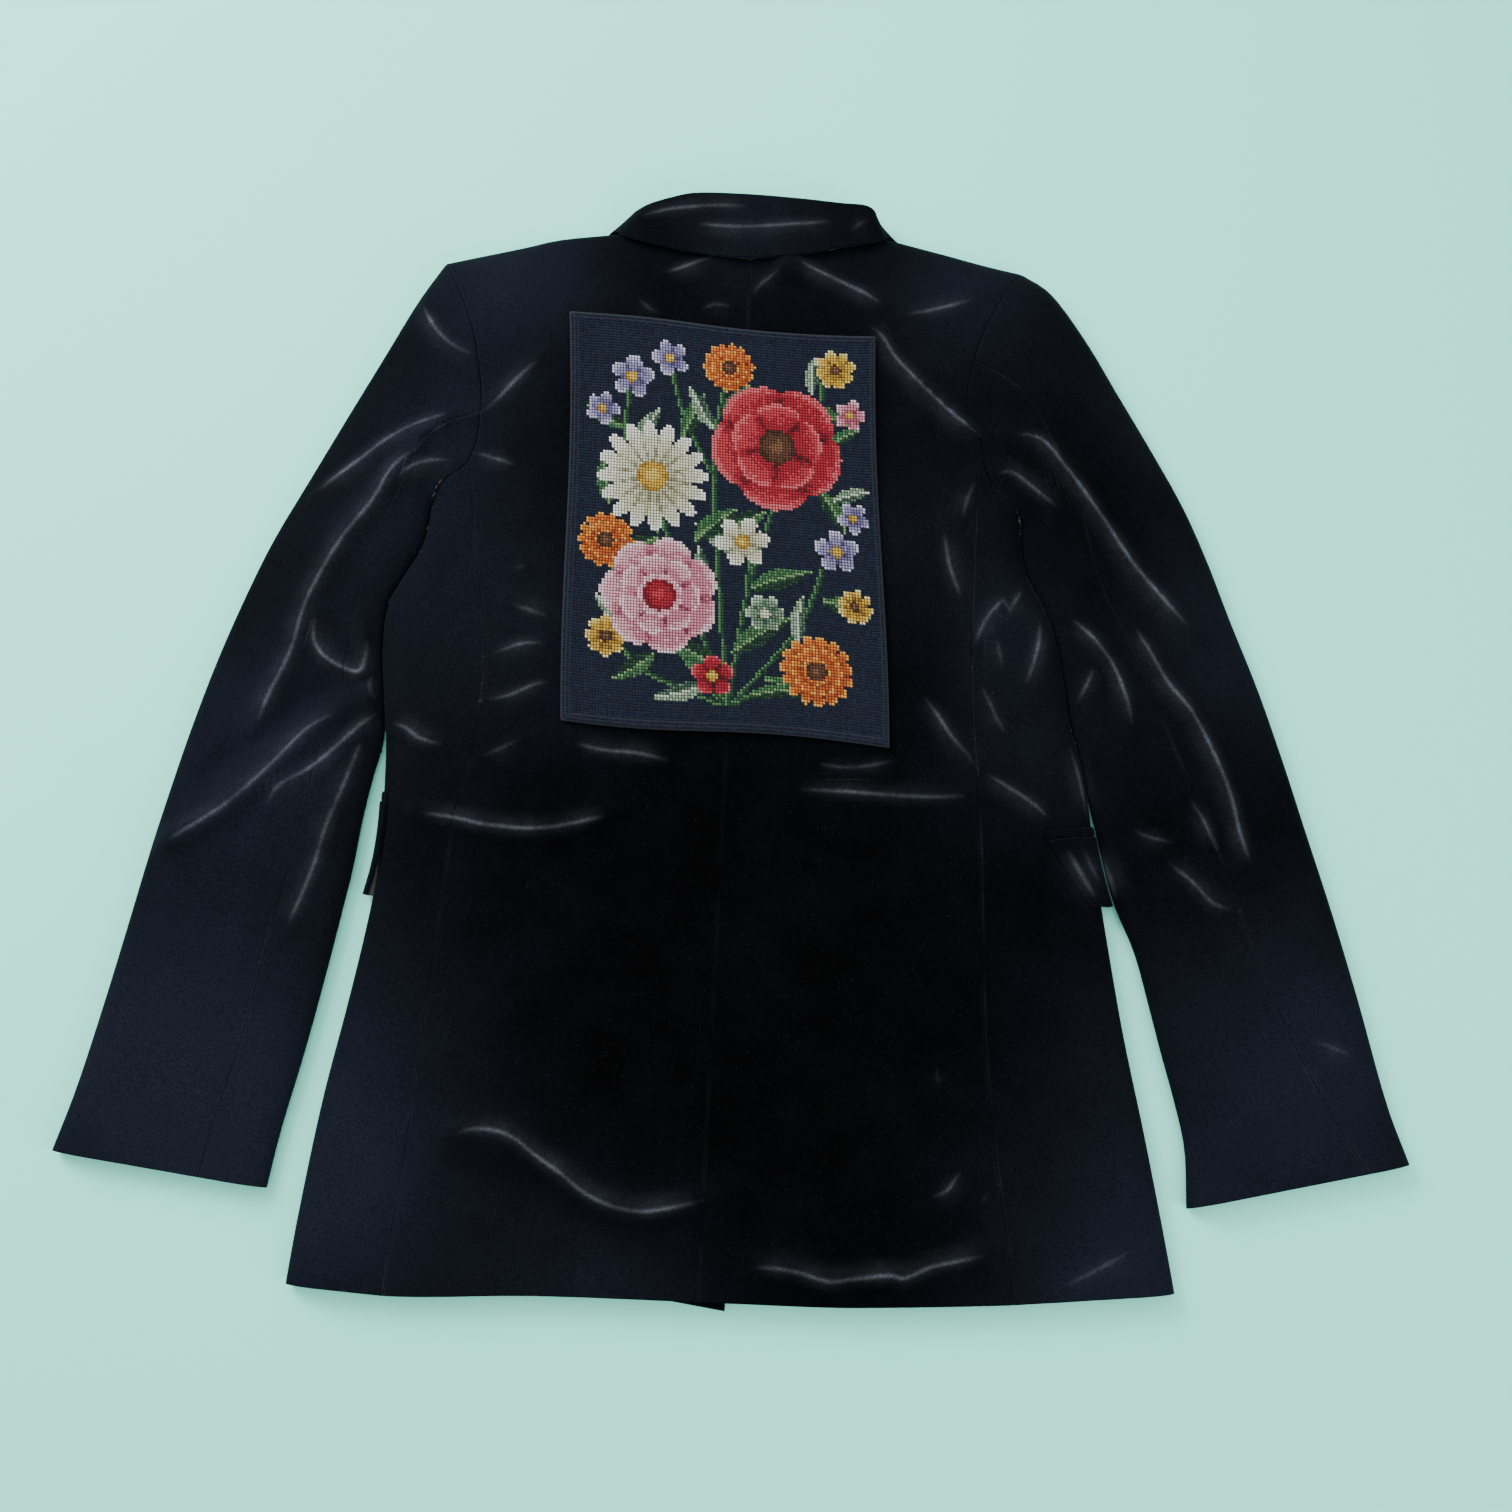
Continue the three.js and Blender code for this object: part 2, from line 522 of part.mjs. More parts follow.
for (const side of Object.keys(SIDES)) {
  const upperPlaces = steps(-FOREARM_STATION, ELBOW_STATION, FOREARM_STATION + ELBOW_STATION);
  const underEnd = 2 * TO_INNER - FOREARM_STATION;
  const underPlaces = steps(ELBOW_STATION, underEnd, underEnd - ELBOW_STATION);
  const turn = SIDES[side];
  addPiece(`upper_sleeve_${side}`, wall(sleeveFace(side, -HALF_SEAM), upperPlaces, rings, { turn }), velvet);
  addPiece(`under_sleeve_${side}`, wall(sleeveFace(side, HALF_SEAM), underPlaces, rings, { turn }), velvet);
}

// Body panels. Rows 0 to SIDE_ROWS climb the side seam, the next ones the armhole, and the last ones
// go along the shoulder to the neck.
const SIDE_ROWS = 16;
const TIP_ROW = SIDE_ROWS + JUNCTION;
const SHOULDER_ROWS = 4;
const NECK_ROW = TIP_ROW + SHOULDER_ROWS;
const SEAM_FOOT = 10; // height above the hem at which a seam's foot is looked up
const HEM_ROWS = 3; // over how many rows the hem's own curve fades out
const point2 = (x, y) => new THREE.Vector2(x, y);

function seamX(side, layer, y) {
  if (layer === "top") return columnAt(SIDE_BACK_SEAM, "y", y, side);
  return sideX(side, y) - SIDES[side] * SIDE_FRONT_INSET;
}
// A point of the seam between centre and side panel, t from hem to armhole, moved by off outwards
function seamPoint(side, layer, t, off) {
  const end = armholePoint(side, layer, JUNCTION);
  const startX = seamX(side, layer, SEAM_FOOT);
  const y = lerp(hemY(startX), end.y, t);
  const x = seamX(side, layer, y) + (end.x - seamX(side, layer, end.y)) * t ** 4;
  return point2(x + SIDES[side] * off, y);
}
function outerPoint(side, layer, row) {
  if (row <= SIDE_ROWS) return seamPoint(side, layer, row / SIDE_ROWS, -HALF_SEAM);
  if (row <= TIP_ROW) {
    const point = armholePoint(side, layer, TIP_ROW - row);
    const nearEnd = Math.max(easeInOut(SIDE_ROWS + 1 - row), 5 * easeInOut(row + 1 - TIP_ROW));
    point.x -= SIDES[side] * HALF_SEAM * nearEnd;
    return point;
  }
  const along = (row - TIP_ROW) / SHOULDER_ROWS;
  return shoulderCurve[side](1 - along);
}
const linearAt = (table, y, column) => {
  let i = 0;
  while (i < table.length - 2 && y > table[i + 1].y) i += 1;
  const t = clamp01((y - table[i].y) / (table[i + 1].y - table[i].y));
  return lerp(table[i][column], table[i + 1][column], t);
};
function cornerDrop(side, layer) {
  if (layer === "top") return 0;
  return FRONT_CORNER_DROP * (side === "left" ? 1 : -0.4);
}
function centrePoint(side, layer, row) {
  const places = layer === "top" ? CENTRE_ROWS.back : CENTRE_ROWS.front;
  const edgeX = (y) => (layer === "top" ? SIDES[side] * HALF_SEAM : linearAt(FRONT_EDGES, y, side));
  const hem = hemY(edgeX(0)) - cornerDrop(side, layer);
  let y = lerp(hem, places.seamTop, row / SIDE_ROWS);
  if (row > SIDE_ROWS) y = lerp(places.seamTop, places.shoulderTip, (row - SIDE_ROWS) / JUNCTION);
  if (row > TIP_ROW) y = lerp(places.shoulderTip, places.neck, (row - TIP_ROW) / SHOULDER_ROWS);
  return point2(edgeX(y), y);
}
function centrePanelFace(side, layer) {
  return (way, row) => {
    const u = row < TIP_ROW ? way : Math.min(way, 1);
    const apart = SHOULDER_GAP * easeInOut((row - TIP_ROW + 3) / 3);
    const point = centrePoint(side, layer, row).lerp(outerPoint(side, layer, row), u);
    const straightHem = lerp(centrePoint(side, layer, 0).y, outerPoint(side, layer, 0).y, u);
    const corner = cornerDrop(side, layer) * Math.max(0, 1 - u / FRONT_CORNER_SHARE);
    point.y += (hemY(point.x) - corner - straightHem) * clamp01(1 - row / HEM_ROWS);
    if (layer === "top") {
      point.y -= NECK_BOW * Math.sin(Math.PI * u) * easeInOut((row - TIP_ROW + 2) / (SHOULDER_ROWS + 2));
      return new THREE.Vector3(point.x, point.y, bodyTop(side, point.x, point.y) + apart);
    }
    const nearNeck = easeInOut((row - TIP_ROW) / SHOULDER_ROWS);
    point.x += SIDES[side] * FRONT_NECK_BOW * Math.sin(Math.PI * u) * nearNeck;
    const fromEdge = Math.abs(point.x - linearAt(FRONT_EDGES, point.y, side));
    const lapped = side === "left" ? FRONT_LAP : 0;
    const across = 1 - easeInOut((fromEdge - LAP_WIDTH) / LAP_SLOPE);
    const lap = lapped * across * (1 - easeInOut((point.y - LAP_END) / LAP_FADE));
    const height = bodyUnder(side, point.x, point.y) - apart * u ** 6 + lap;
    return new THREE.Vector3(point.x, point.y, height);
  };
}
// Columns lie closer together towards the side fold, where the face turns down
const CROWDING = 0.55;
const towardsFold = (count) => {
  return steps(0, 1, count).map((w) => lerp(w, Math.sin((Math.PI / 2) * w), CROWDING));
};
const BACK_COLUMNS = 10;
const FRONT_COLUMNS = 6;
// The row at the shoulder's tip stands just before the corner there, on the armhole's side
const CORNER_SHIFT = 0.01;
const cornerRow = (row) => (row === TIP_ROW ? row - CORNER_SHIFT : row);
const centreRows = steps(0, NECK_ROW, NECK_ROW).map(cornerRow);
for (const side of Object.keys(SIDES)) {
  const backFace = centrePanelFace(side, "top");
  const frontFace = centrePanelFace(side, "under");
  const back = wall(backFace, towardsFold(BACK_COLUMNS), centreRows, { turn: SIDES[side] });
  const front = wall(frontFace, towardsFold(FRONT_COLUMNS), centreRows, { turn: -SIDES[side] });
  addPiece(`back_${side}`, back, velvet);
  addPiece(`front_${side}`, front, velvet);
}

// Side panels: from the side-back seam, round the side fold at 0, to the side-front seam
const SIDE_STATIONS = TO_INNER - JUNCTION;
function sidePanelFace(side) {
  return (place, row) => {
    const layer = place < 0 ? "top" : "under";
    const share = (place / SIDE_STATIONS) ** 2;
    const foldX = sideX(side, SEAM_FOOT);
    const straight = (t) => {
      const seam = seamPoint(side, layer, t, HALF_SEAM);
      const foldY = lerp(hemY(foldX), armholePoint(side, layer, TO_INNER).y, t);
      return point2(sideX(side, foldY), foldY).lerp(seam, share);
    };
    const station = TO_INNER - Math.abs(place);
    const bow = armholePoint(side, layer, station).sub(straight(1));
    const point = straight(row / SIDE_ROWS).addScaledVector(bow, clamp01(row - SIDE_ROWS + 1));
    const height = layer === "top" ? bodyTop : bodyUnder;
    return new THREE.Vector3(point.x, point.y, height(side, point.x, point.y));
  };
}
for (const side of Object.keys(SIDES)) {
  const places = steps(-SIDE_STATIONS, SIDE_STATIONS, 2 * SIDE_STATIONS);
  const panel = wall(sidePanelFace(side), places, steps(0, SIDE_ROWS, SIDE_ROWS), { turn: SIDES[side] });
  addPiece(`side_${side}`, panel, velvet);
}

// Hip pockets follow the body round its side fold. A place's square is its distance from the fold.
function hipFace(side, spans, topY, depth) {
  const pocket = POCKETS[side];
  return (u, v) => {
    const start = -Math.sqrt(lerp(...spans.above, v));
    const end = Math.sqrt(lerp(...spans.below, v));
    const place = lerp(start, end, u);
    const far = place * Math.abs(place);
    const y = topY + pocket.rise * (far + spans.above[0]) - depth * v;
    const x = sideX(side, y) - SIDES[side] * Math.abs(far);
    const z = place < 0 ? bodyTop(side, x, y) : bodyUnder(side, x, y);
    return new THREE.Vector3(x, y, z);
  };
}
const FLARE_REACH = 9; // how far from the side fold a flap's free edge stands off
const POCKET_COLUMNS = 14;
const pocketColumns = steps(0, 1, POCKET_COLUMNS);
for (const side of Object.keys(SIDES)) {
  const pocket = POCKETS[side];
  const flapFace = hipFace(side, pocket, pocket.top, pocket.depth);
  const flared = (u, v) => {
    const point = flapFace(u, v);
    const fold = Math.exp(-(((point.x - sideX(side, point.y)) / FLARE_REACH) ** 2));
    point.x += SIDES[side] * pocket.flare * Math.max(0, v) ** 1.5 * fold;
    return point;
  };
  const turn = -SIDES[side];
  const flap = wall(flared, pocketColumns, steps(0, 1, 3), { turn, lift: FLAP_LIFT + CLOTH });
  addPiece(`pocket_flap_${side}`, flap, velvet);
  const spans = { above: [pocket.above[0], pocket.above[0]], below: [pocket.below[0], pocket.below[0]] };
  const weltTop = pocket.top + SEAM + WELT_WIDTH;
  const weltFace = hipFace(side, spans, weltTop, WELT_WIDTH);
  const weltOptions = { turn, thickness: WELT_CLOTH, lift: FLAP_LIFT + WELT_CLOTH };
  const welt = wall(weltFace, pocketColumns, [0, 1], weltOptions);
  addPiece(`pocket_welt_${side}`, welt, velvet);
}

// Lapels lie flat on the table under the fronts
for (const side of Object.keys(SIDES)) {
  const lapel = LAPELS[side];
  const along = (line, t) => point2(...line[0]).lerp(point2(...line[1]), t);
  const face = (u, v) => {
    const point = along(lapel.roll, v).lerp(along(lapel.edge, v), u);
    point.x += SIDES[side] * lapel.belly * Math.sin(Math.PI * v) * u;
    return new THREE.Vector3(point.x, point.y, 0);
  };
  addPiece(`lapel_${side}`, wall(face, steps(0, 1, 4), steps(0, 1, 8), { turn: -SIDES[side] }), velvet);
}

// Stitched canvas: made from the back's own face, moved out
function canvasFace(u, v) {
  const { topLeft, topRight, bottomRight, bottomLeft } = CANVAS_CORNERS;
  const top = point2(topLeft.x, topLeft.y).lerp(point2(topRight.x, topRight.y), u);
  const bottom = point2(bottomLeft.x, bottomLeft.y).lerp(point2(bottomRight.x, bottomRight.y), u);
  const point = bottom.lerp(top, v);
  point.x += CANVAS_WAVER * Math.sin(5 * v + 1) * (u - 0.5) * 2;
  point.y += CANVAS_WAVER * Math.sin(6 * u + 0.5) * (v - 0.5) * 2;
  const side = point.x < 0 ? "left" : "right";
  return new THREE.Vector3(point.x, point.y, bodyTop(side, point.x, point.y));
}
const canvasWall = wall(canvasFace, steps(0, 1, 10), steps(0, 1, 12), { lift: CANVAS_LIFT + CLOTH });
addPiece("needlepoint_panel", canvasWall, canvas);

// Collar: a section runs from the neck seam up the stand, round the roll and down the fall
function collarColumn(column, index) {
  return COLLAR_ROWS.map((row, place) => ({ place, value: row[column][index] }));
}
const collarColumns = {};
for (const column of ["seam", "roll", "edge"]) {
  collarColumns[column] = [0, 1, 2].map((index) => collarColumn(column, index));
}
const collarFolds = COLLAR_ROWS.map((row, place) => ({ place, value: row.fold }));
function collarLine(column, place) {
  const parts = collarColumns[column].map((table) => columnAt(table, "place", place, "value"));
  return new THREE.Vector3(...parts);
}
const STAND_SHARE = 0.3;
const ROLL_SHARE = 0.62;
function collarFace(u, place) {
  const seam = collarLine("seam", place);
  const roll = collarLine("roll", place);
  const edge = collarLine("edge", place);
  const along = collarLine("roll", place + 0.05).sub(collarLine("roll", place - 0.05)).normalize();
  const out = roll.clone().sub(seam.clone().add(edge).multiplyScalar(0.5));
  out.addScaledVector(along, -out.dot(along)).normalize();
  const up = along.clone().cross(out);
  const radius = columnAt(collarFolds, "place", place, "value");
  const middle = roll.clone().addScaledVector(out, -radius);
  if (u < STAND_SHARE) return seam.lerp(middle.addScaledVector(up, -radius), u / STAND_SHARE);
  if (u > ROLL_SHARE) {
    return middle.addScaledVector(up, radius).lerp(edge, (u - ROLL_SHARE) / (1 - ROLL_SHARE));
  }
  const angle = Math.PI * ((u - STAND_SHARE) / (ROLL_SHARE - STAND_SHARE) - 0.5);
  return middle.addScaledVector(out, radius * Math.cos(angle)).addScaledVector(up, radius * Math.sin(angle));
}
const collarStations = [
  ...steps(0, STAND_SHARE, 3),
  ...steps(STAND_SHARE, ROLL_SHARE, 4).slice(1),
  ...steps(ROLL_SHARE, 1, 4).slice(1),
];
const collarPlaces = steps(0, COLLAR_ROWS.length - 1, 22);
addPiece("collar", wall(collarFace, collarStations, collarPlaces, { lift: CLOTH / 2 }), velvet);

// The front button, face down on the table, its rim rounded off on that side
const { radius: buttonRadius, thickness: buttonThickness, flat: buttonFlat, rim: buttonRim } = BUTTON;
const buttonProfile = [
  point2(0, 0),
  point2(buttonFlat, 0),
  point2(buttonRadius, buttonRim),
  point2(buttonRadius, buttonThickness),
  point2(0, buttonThickness),
];
const button = new THREE.LatheGeometry(buttonProfile, 24);
button.rotateX(Math.PI / 2);
button.translate(BUTTON.x, BUTTON.y, 0);
addPiece("front_button", button, horn);

export default blazer;
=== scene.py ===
# %% [markdown]
# A tailored velvet blazer, laid face down, with a needlepoint panel sewn on its back. The packed
# solids give the frame. Every velvet panel is made again here as a fine shell on its solid's form, with
# the small folds and the soft grooves of the seams that a coarse solid can't hold.

# %% Frame
import math

import bpy
import numpy as np
from mathutils import Matrix, Vector


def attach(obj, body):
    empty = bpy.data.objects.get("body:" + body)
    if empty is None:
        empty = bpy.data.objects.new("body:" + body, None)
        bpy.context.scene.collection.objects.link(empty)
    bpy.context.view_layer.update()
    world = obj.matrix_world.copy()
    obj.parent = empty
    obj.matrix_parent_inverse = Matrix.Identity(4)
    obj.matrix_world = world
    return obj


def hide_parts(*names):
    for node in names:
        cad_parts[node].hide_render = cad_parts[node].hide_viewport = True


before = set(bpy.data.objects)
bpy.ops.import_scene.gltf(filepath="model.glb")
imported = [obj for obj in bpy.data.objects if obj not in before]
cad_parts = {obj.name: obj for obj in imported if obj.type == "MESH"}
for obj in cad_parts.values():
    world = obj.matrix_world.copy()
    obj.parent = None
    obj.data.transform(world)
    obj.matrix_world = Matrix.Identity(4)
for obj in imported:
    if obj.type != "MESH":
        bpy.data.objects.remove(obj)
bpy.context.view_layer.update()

# %% [markdown]
# The camera stands above the hem's side of the blazer and looks down, tilted a little towards the
# collar. Its place was worked out from the photograph's own perspective, so it is set by its three
# axes. A photograph of 1512 pixels with a focal length of 1500 pixels is a lens of 35.7 mm.

# %% Camera
PHOTO_PIXELS = 1512
FOCAL_PIXELS = 1500
SENSOR_MM = 36
CAMERA_PLACE = (0.013, -0.2125, 0.9511)
CAMERA_TILT = math.radians(11.3)
CAMERA_TURN = math.radians(2.6)

camera_data = bpy.data.cameras.new("photo_camera")
camera_data.sensor_fit = "HORIZONTAL"
camera_data.sensor_width = SENSOR_MM
camera_data.lens = SENSOR_MM * FOCAL_PIXELS / PHOTO_PIXELS
camera = bpy.data.objects.new("photo_camera", camera_data)
bpy.context.scene.collection.objects.link(camera)
right = Vector((math.cos(CAMERA_TURN), math.sin(CAMERA_TURN), 0))
ahead = Vector((
    -math.sin(CAMERA_TILT) * math.sin(CAMERA_TURN),
    math.sin(CAMERA_TILT) * math.cos(CAMERA_TURN),
    -math.cos(CAMERA_TILT),
))
upward = right.cross(ahead)
axes = Matrix((right, upward, -ahead)).transposed().to_4x4()
camera.matrix_world = Matrix.Translation(CAMERA_PLACE) @ axes
bpy.context.scene.camera = camera
print("lens:", round(camera_data.lens, 2), "mm")

# %% [markdown]
# Colours are written as sRGB hex, as a dyer's card would give them, and turned to linear here.
# One helper adds a shader node, sets its values and joins its inputs, and four short ones use it for
# the kinds of node that come up again and again.

# %% Colours and nodes
def linear(hex_colour):
    channels = [int(hex_colour[i : i + 2], 16) / 255 for i in (1, 3, 5)]
    return tuple(c / 12.92 if c <= 0.04045 else ((c + 0.055) / 1.055) ** 2.4 for c in channels) + (1.0,)


def add_node(tree, kind, settings=None, **inputs):
    """Adds a node. settings are its own properties. inputs are values, or (node, output) to link."""
    node = tree.nodes.new(kind)
    for key, value in (settings or {}).items():
        setattr(node, key, value)
    for key, value in inputs.items():
        numbered = key[0] == "i" and key[1:].isdigit()
        socket = node.inputs[int(key[1:]) if numbered else key.replace("_", " ")]
        if isinstance(value, tuple) and isinstance(value[0], bpy.types.Node):
            tree.links.new(value[0].outputs[value[1]], socket)
        else:
            socket.default_value = value
    return node


def new_material(name):
    material = bpy.data.materials.new(name)
    material.use_nodes = True
    material.node_tree.nodes.clear()
    return material, material.node_tree


def maths(tree, operation, *values, clamp=False):
    inputs = {f"i{k}": value for k, value in enumerate(values)}
    return add_node(tree, "ShaderNodeMath", {"operation": operation, "use_clamp": clamp}, **inputs)


def noise(tree, place, scale, detail, roughness=0.5):
    return add_node(tree, "ShaderNodeTexNoise", Vector=(place, "Object"), Scale=scale, Detail=detail,
                    Roughness=roughness)


def mix_colours(tree, factor, first, second, blend="MIX"):
    settings = {"data_type": "RGBA", "blend_type": blend}
    return add_node(tree, "ShaderNodeMix", settings, i0=factor, i6=first, i7=second)


def ramp(tree, factor, dark, light, start=0.0, end=1.0):
    node = add_node(tree, "ShaderNodeValToRGB", Fac=factor)
    for stop, place, colour in zip(node.color_ramp.elements, (start, end), (dark, light)):
        stop.position = place
        stop.color = linear(colour)
    return node


def finish_material(tree, shader):
    add_node(tree, "ShaderNodeOutputMaterial", Surface=(shader, 0))


# 1b1f2a is the lightest ground, reached where painted sheen and random tone lift it.
print("brushed pile in linear light:", [round(c, 4) for c in linear("#1b1f2a")])

# %% [markdown]
# Cotton velvet is a plain woven ground with a cut pile that stands about 1.5 mm high. Looked at from
# straight above, the eye sees between the fibres and the cloth is near black. Where the cloth turns
# away, it sees the fibres' sides, and they shine. That is what sheen does in the Principled shader,
# and it stays on the shader's own sockets. More sheen is painted into the colour: lighter patches
# placed where the cloth shines more, and bright lines along the folds and at the seams' edges. The
# tone also varies at random in patches, and the cloth is dotted with dust: specks of about 0.5 mm.

# %% Velvet
CREASE_CORE, CREASE_GLOW, FOLD_FAR = 1.2, 5.5, 20.0  # mm from a fold's line
CORE_SHINE, GLOW_SHINE = 0.8, 0.17


def velvet_material():
    material, tree = new_material("black_cotton_velvet")
    place = add_node(tree, "ShaderNodeTexCoord")
    nap = add_node(tree, "ShaderNodeVertexColor", {"layer_name": "nap"})
    sheen_parts = add_node(tree, "ShaderNodeSeparateColor", Color=(nap, "Color"))
    patches = noise(tree, place, 23.0, 5.0, 0.65)
    patchy = maths(tree, "MULTIPLY_ADD", (patches, "Fac"), 0.42, -0.18)
    sheen_and_tone = maths(tree, "ADD", (sheen_parts, "Green"), (patchy, 0), clamp=True)
    # The ground is lifted towards #1b1f2a by painted sheen in placed patches (green) and by random tone
    # (noise).
    ground = mix_colours(tree, (sheen_and_tone, 0), linear("#030304"), linear("#1b1f2a"))
    streaks = noise(tree, place, 120.0, 5.0, 0.7)
    uneven = maths(tree, "MULTIPLY", (streaks, "Fac"), 1.8)
    widths = 2 * FOLD_FAR / CREASE_CORE
    off = maths(tree, "MULTIPLY_ADD", (sheen_parts, "Blue"), widths, -widths / 2)
    square = maths(tree, "MULTIPLY", (off, 0), (off, 0))
    falling = maths(tree, "MULTIPLY", (square, 0), -1.0)
    core = maths(tree, "EXPONENT", (falling, 0))
    both = maths(tree, "MULTIPLY_ADD", (core, 0), CORE_SHINE, GLOW_SHINE)
    sheen_strength = maths(tree, "MULTIPLY", (sheen_parts, "Red"), (both, 0))
    shine = maths(tree, "MULTIPLY", (sheen_strength, 0), (uneven, 0), clamp=True)
    # Painted sheen: the light grey #5c6069 is mixed in along the folds and the seams' edges.
    with_crease_sheen = mix_colours(tree, (shine, 0), (ground, 2), linear("#5c6069"))
    pile = noise(tree, place, 900.0, 3.0, 0.7)
    grain = ramp(tree, (pile, "Fac"), "#9a9a9e", "#ffffff", 0.3, 0.72)
    tinted = mix_colours(tree, 1.0, (with_crease_sheen, 2), (grain, "Color"), "MULTIPLY")
    specks = add_node(tree, "ShaderNodeTexVoronoi", Vector=(place, "Object"), Scale=640.0, Randomness=1.0)
    near_speck = maths(tree, "LESS_THAN", (specks, "Distance"), 0.15)
    chance = add_node(tree, "ShaderNodeSeparateColor", Color=(specks, "Color"))
    few = maths(tree, "GREATER_THAN", (chance, "Red"), 0.7)
    dusty = maths(tree, "MULTIPLY", (near_speck, 0), (few, 0))
    with_dust = mix_colours(tree, (dusty, 0), (tinted, 2), linear("#1e2129"))
    lay_bump = add_node(tree, "ShaderNodeBump", Strength=0.3, Distance=0.002, Height=(streaks, "Fac"))
    pile_bump = add_node(tree, "ShaderNodeBump", Strength=0.4, Distance=0.0005, Height=(pile, "Fac"),
                         Normal=(lay_bump, "Normal"))
    cloth = add_node(tree, "ShaderNodeBsdfPrincipled", Base_Color=(with_dust, 2),
                     Normal=(pile_bump, "Normal"), Roughness=0.95, IOR=1.45)
    cloth.inputs["Specular IOR Level"].default_value = 0.03
    cloth.inputs["Sheen Weight"].default_value = 0.1
    cloth.inputs["Sheen Roughness"].default_value = 0.3
    cloth.inputs["Sheen Tint"].default_value = linear("#a9b0c4")
    finish_material(tree, cloth)
    return material


velvet = velvet_material()
print("velvet:", len(velvet.node_tree.nodes), "nodes")

# %% [markdown]
# The inside of the blazer shows only at the cuffs, the hem and the neck, as the reverse of each shell.
# It is a black lining satin: long floats of filament yarn, which give it a smooth low gloss.

# %% Lining
def lining_material():
    material, tree = new_material("black_lining_satin")
    place = add_node(tree, "ShaderNodeTexCoord")
    yarns = add_node(tree, "ShaderNodeTexWave", {"bands_direction": "Y"}, Vector=(place, "Object"),
                     Scale=250.0, Distortion=1.5)
    floats = add_node(tree, "ShaderNodeBump", Strength=0.15, Distance=0.0002, Height=(yarns, "Fac"))
    shade = ramp(tree, (yarns, "Fac"), "#08080a", "#141418")
    satin = add_node(tree, "ShaderNodeBsdfPrincipled", Base_Color=(shade, "Color"),
                     Normal=(floats, "Normal"), Roughness=0.42, IOR=1.5)
    finish_material(tree, satin)
    return material


lining = lining_material()

# %% [markdown]
# The blazer's sizes, in millimetres. x = 0 is the centre-back seam and y = 0 the hem. They are the
# solids' sizes, so each shell lies on its solid. Only the sleeves and the collar's free edge lie a
# little closer to the body.

# %% Sizes
MM = 0.001
MIDDLE = (15.0, 362.5)  # middle of the outline, where the frame's origin is
EDGE_HEIGHT, FULL_HEIGHT = 5.0, 16.0
HEM_HEIGHT, HEM_RISE = 14.0, 90.0
CUFF_HEIGHT, CUFF_RINGS = 13.0, 4.0
TOP_ROLL = 25.0
LAYER, LAYER_START, LAYER_RISE = 2.9, 120.0, 60.0
FRONT_LAP, LAP_WIDTH, LAP_SLOPE, LAP_END, LAP_FADE = 2.4, 62.0, 30.0, 480.0, 40.0
SIDES = {"left": -1.0, "right": 1.0}

BODY_SIDES = np.array([  # y, left x, right x of the side folds
    (-40, -251, 297), (0, -248.5, 289), (42, -245, 281.5), (111, -237, 268), (172, -227, 255),
    (220, -220, 246.5), (260, -216, 240), (300, -217, 235), (338, -219, 229), (366, -223, 221.5),
    (400, -227, 216), (430, -226, 210), (448, -218, 202.5), (470, -207, 191), (500, -203, 187),
])
HEM = np.array([(-260, 4), (-185, 0), (-97, 4), (16, 5), (93, 6), (217, 14), (290, 22)])
SIDE_BACK_SEAM = np.array([  # y, left x, right x
    (0, -187, 188), (45, -185, 183), (90, -181, 176), (160, -177, 168), (284, -169, 163), (338, -160, 159),
    (378, -157, 156), (414, -160, 155), (459, -168, 156), (500, -174, 157), (560, -183, 159),
])
SIDE_FRONT_INSET = 46.0
ARMHOLE = {
    "left": [(-209, 673), (-194, 645), (-184, 621), (-177, 592),
             (-174, 562), (-179, 528), (-197, 513), (-203, 500)],
    "right": [(186, 683), (168, 652), (155, 621), (149, 588),
              (157, 556), (166, 528), (181, 514), (187, 500)],
}
SHOULDER = {
    "left": [(-91, 701), (-131, 695), (-158, 687), (-209, 673)],
    "right": [(94, 705), (131, 696), (162, 688), (186, 683)],
}
NECK_CENTRE_Y, NECK_BOW, FRONT_NECK_BOW = 681.0, 4.6, 11.0
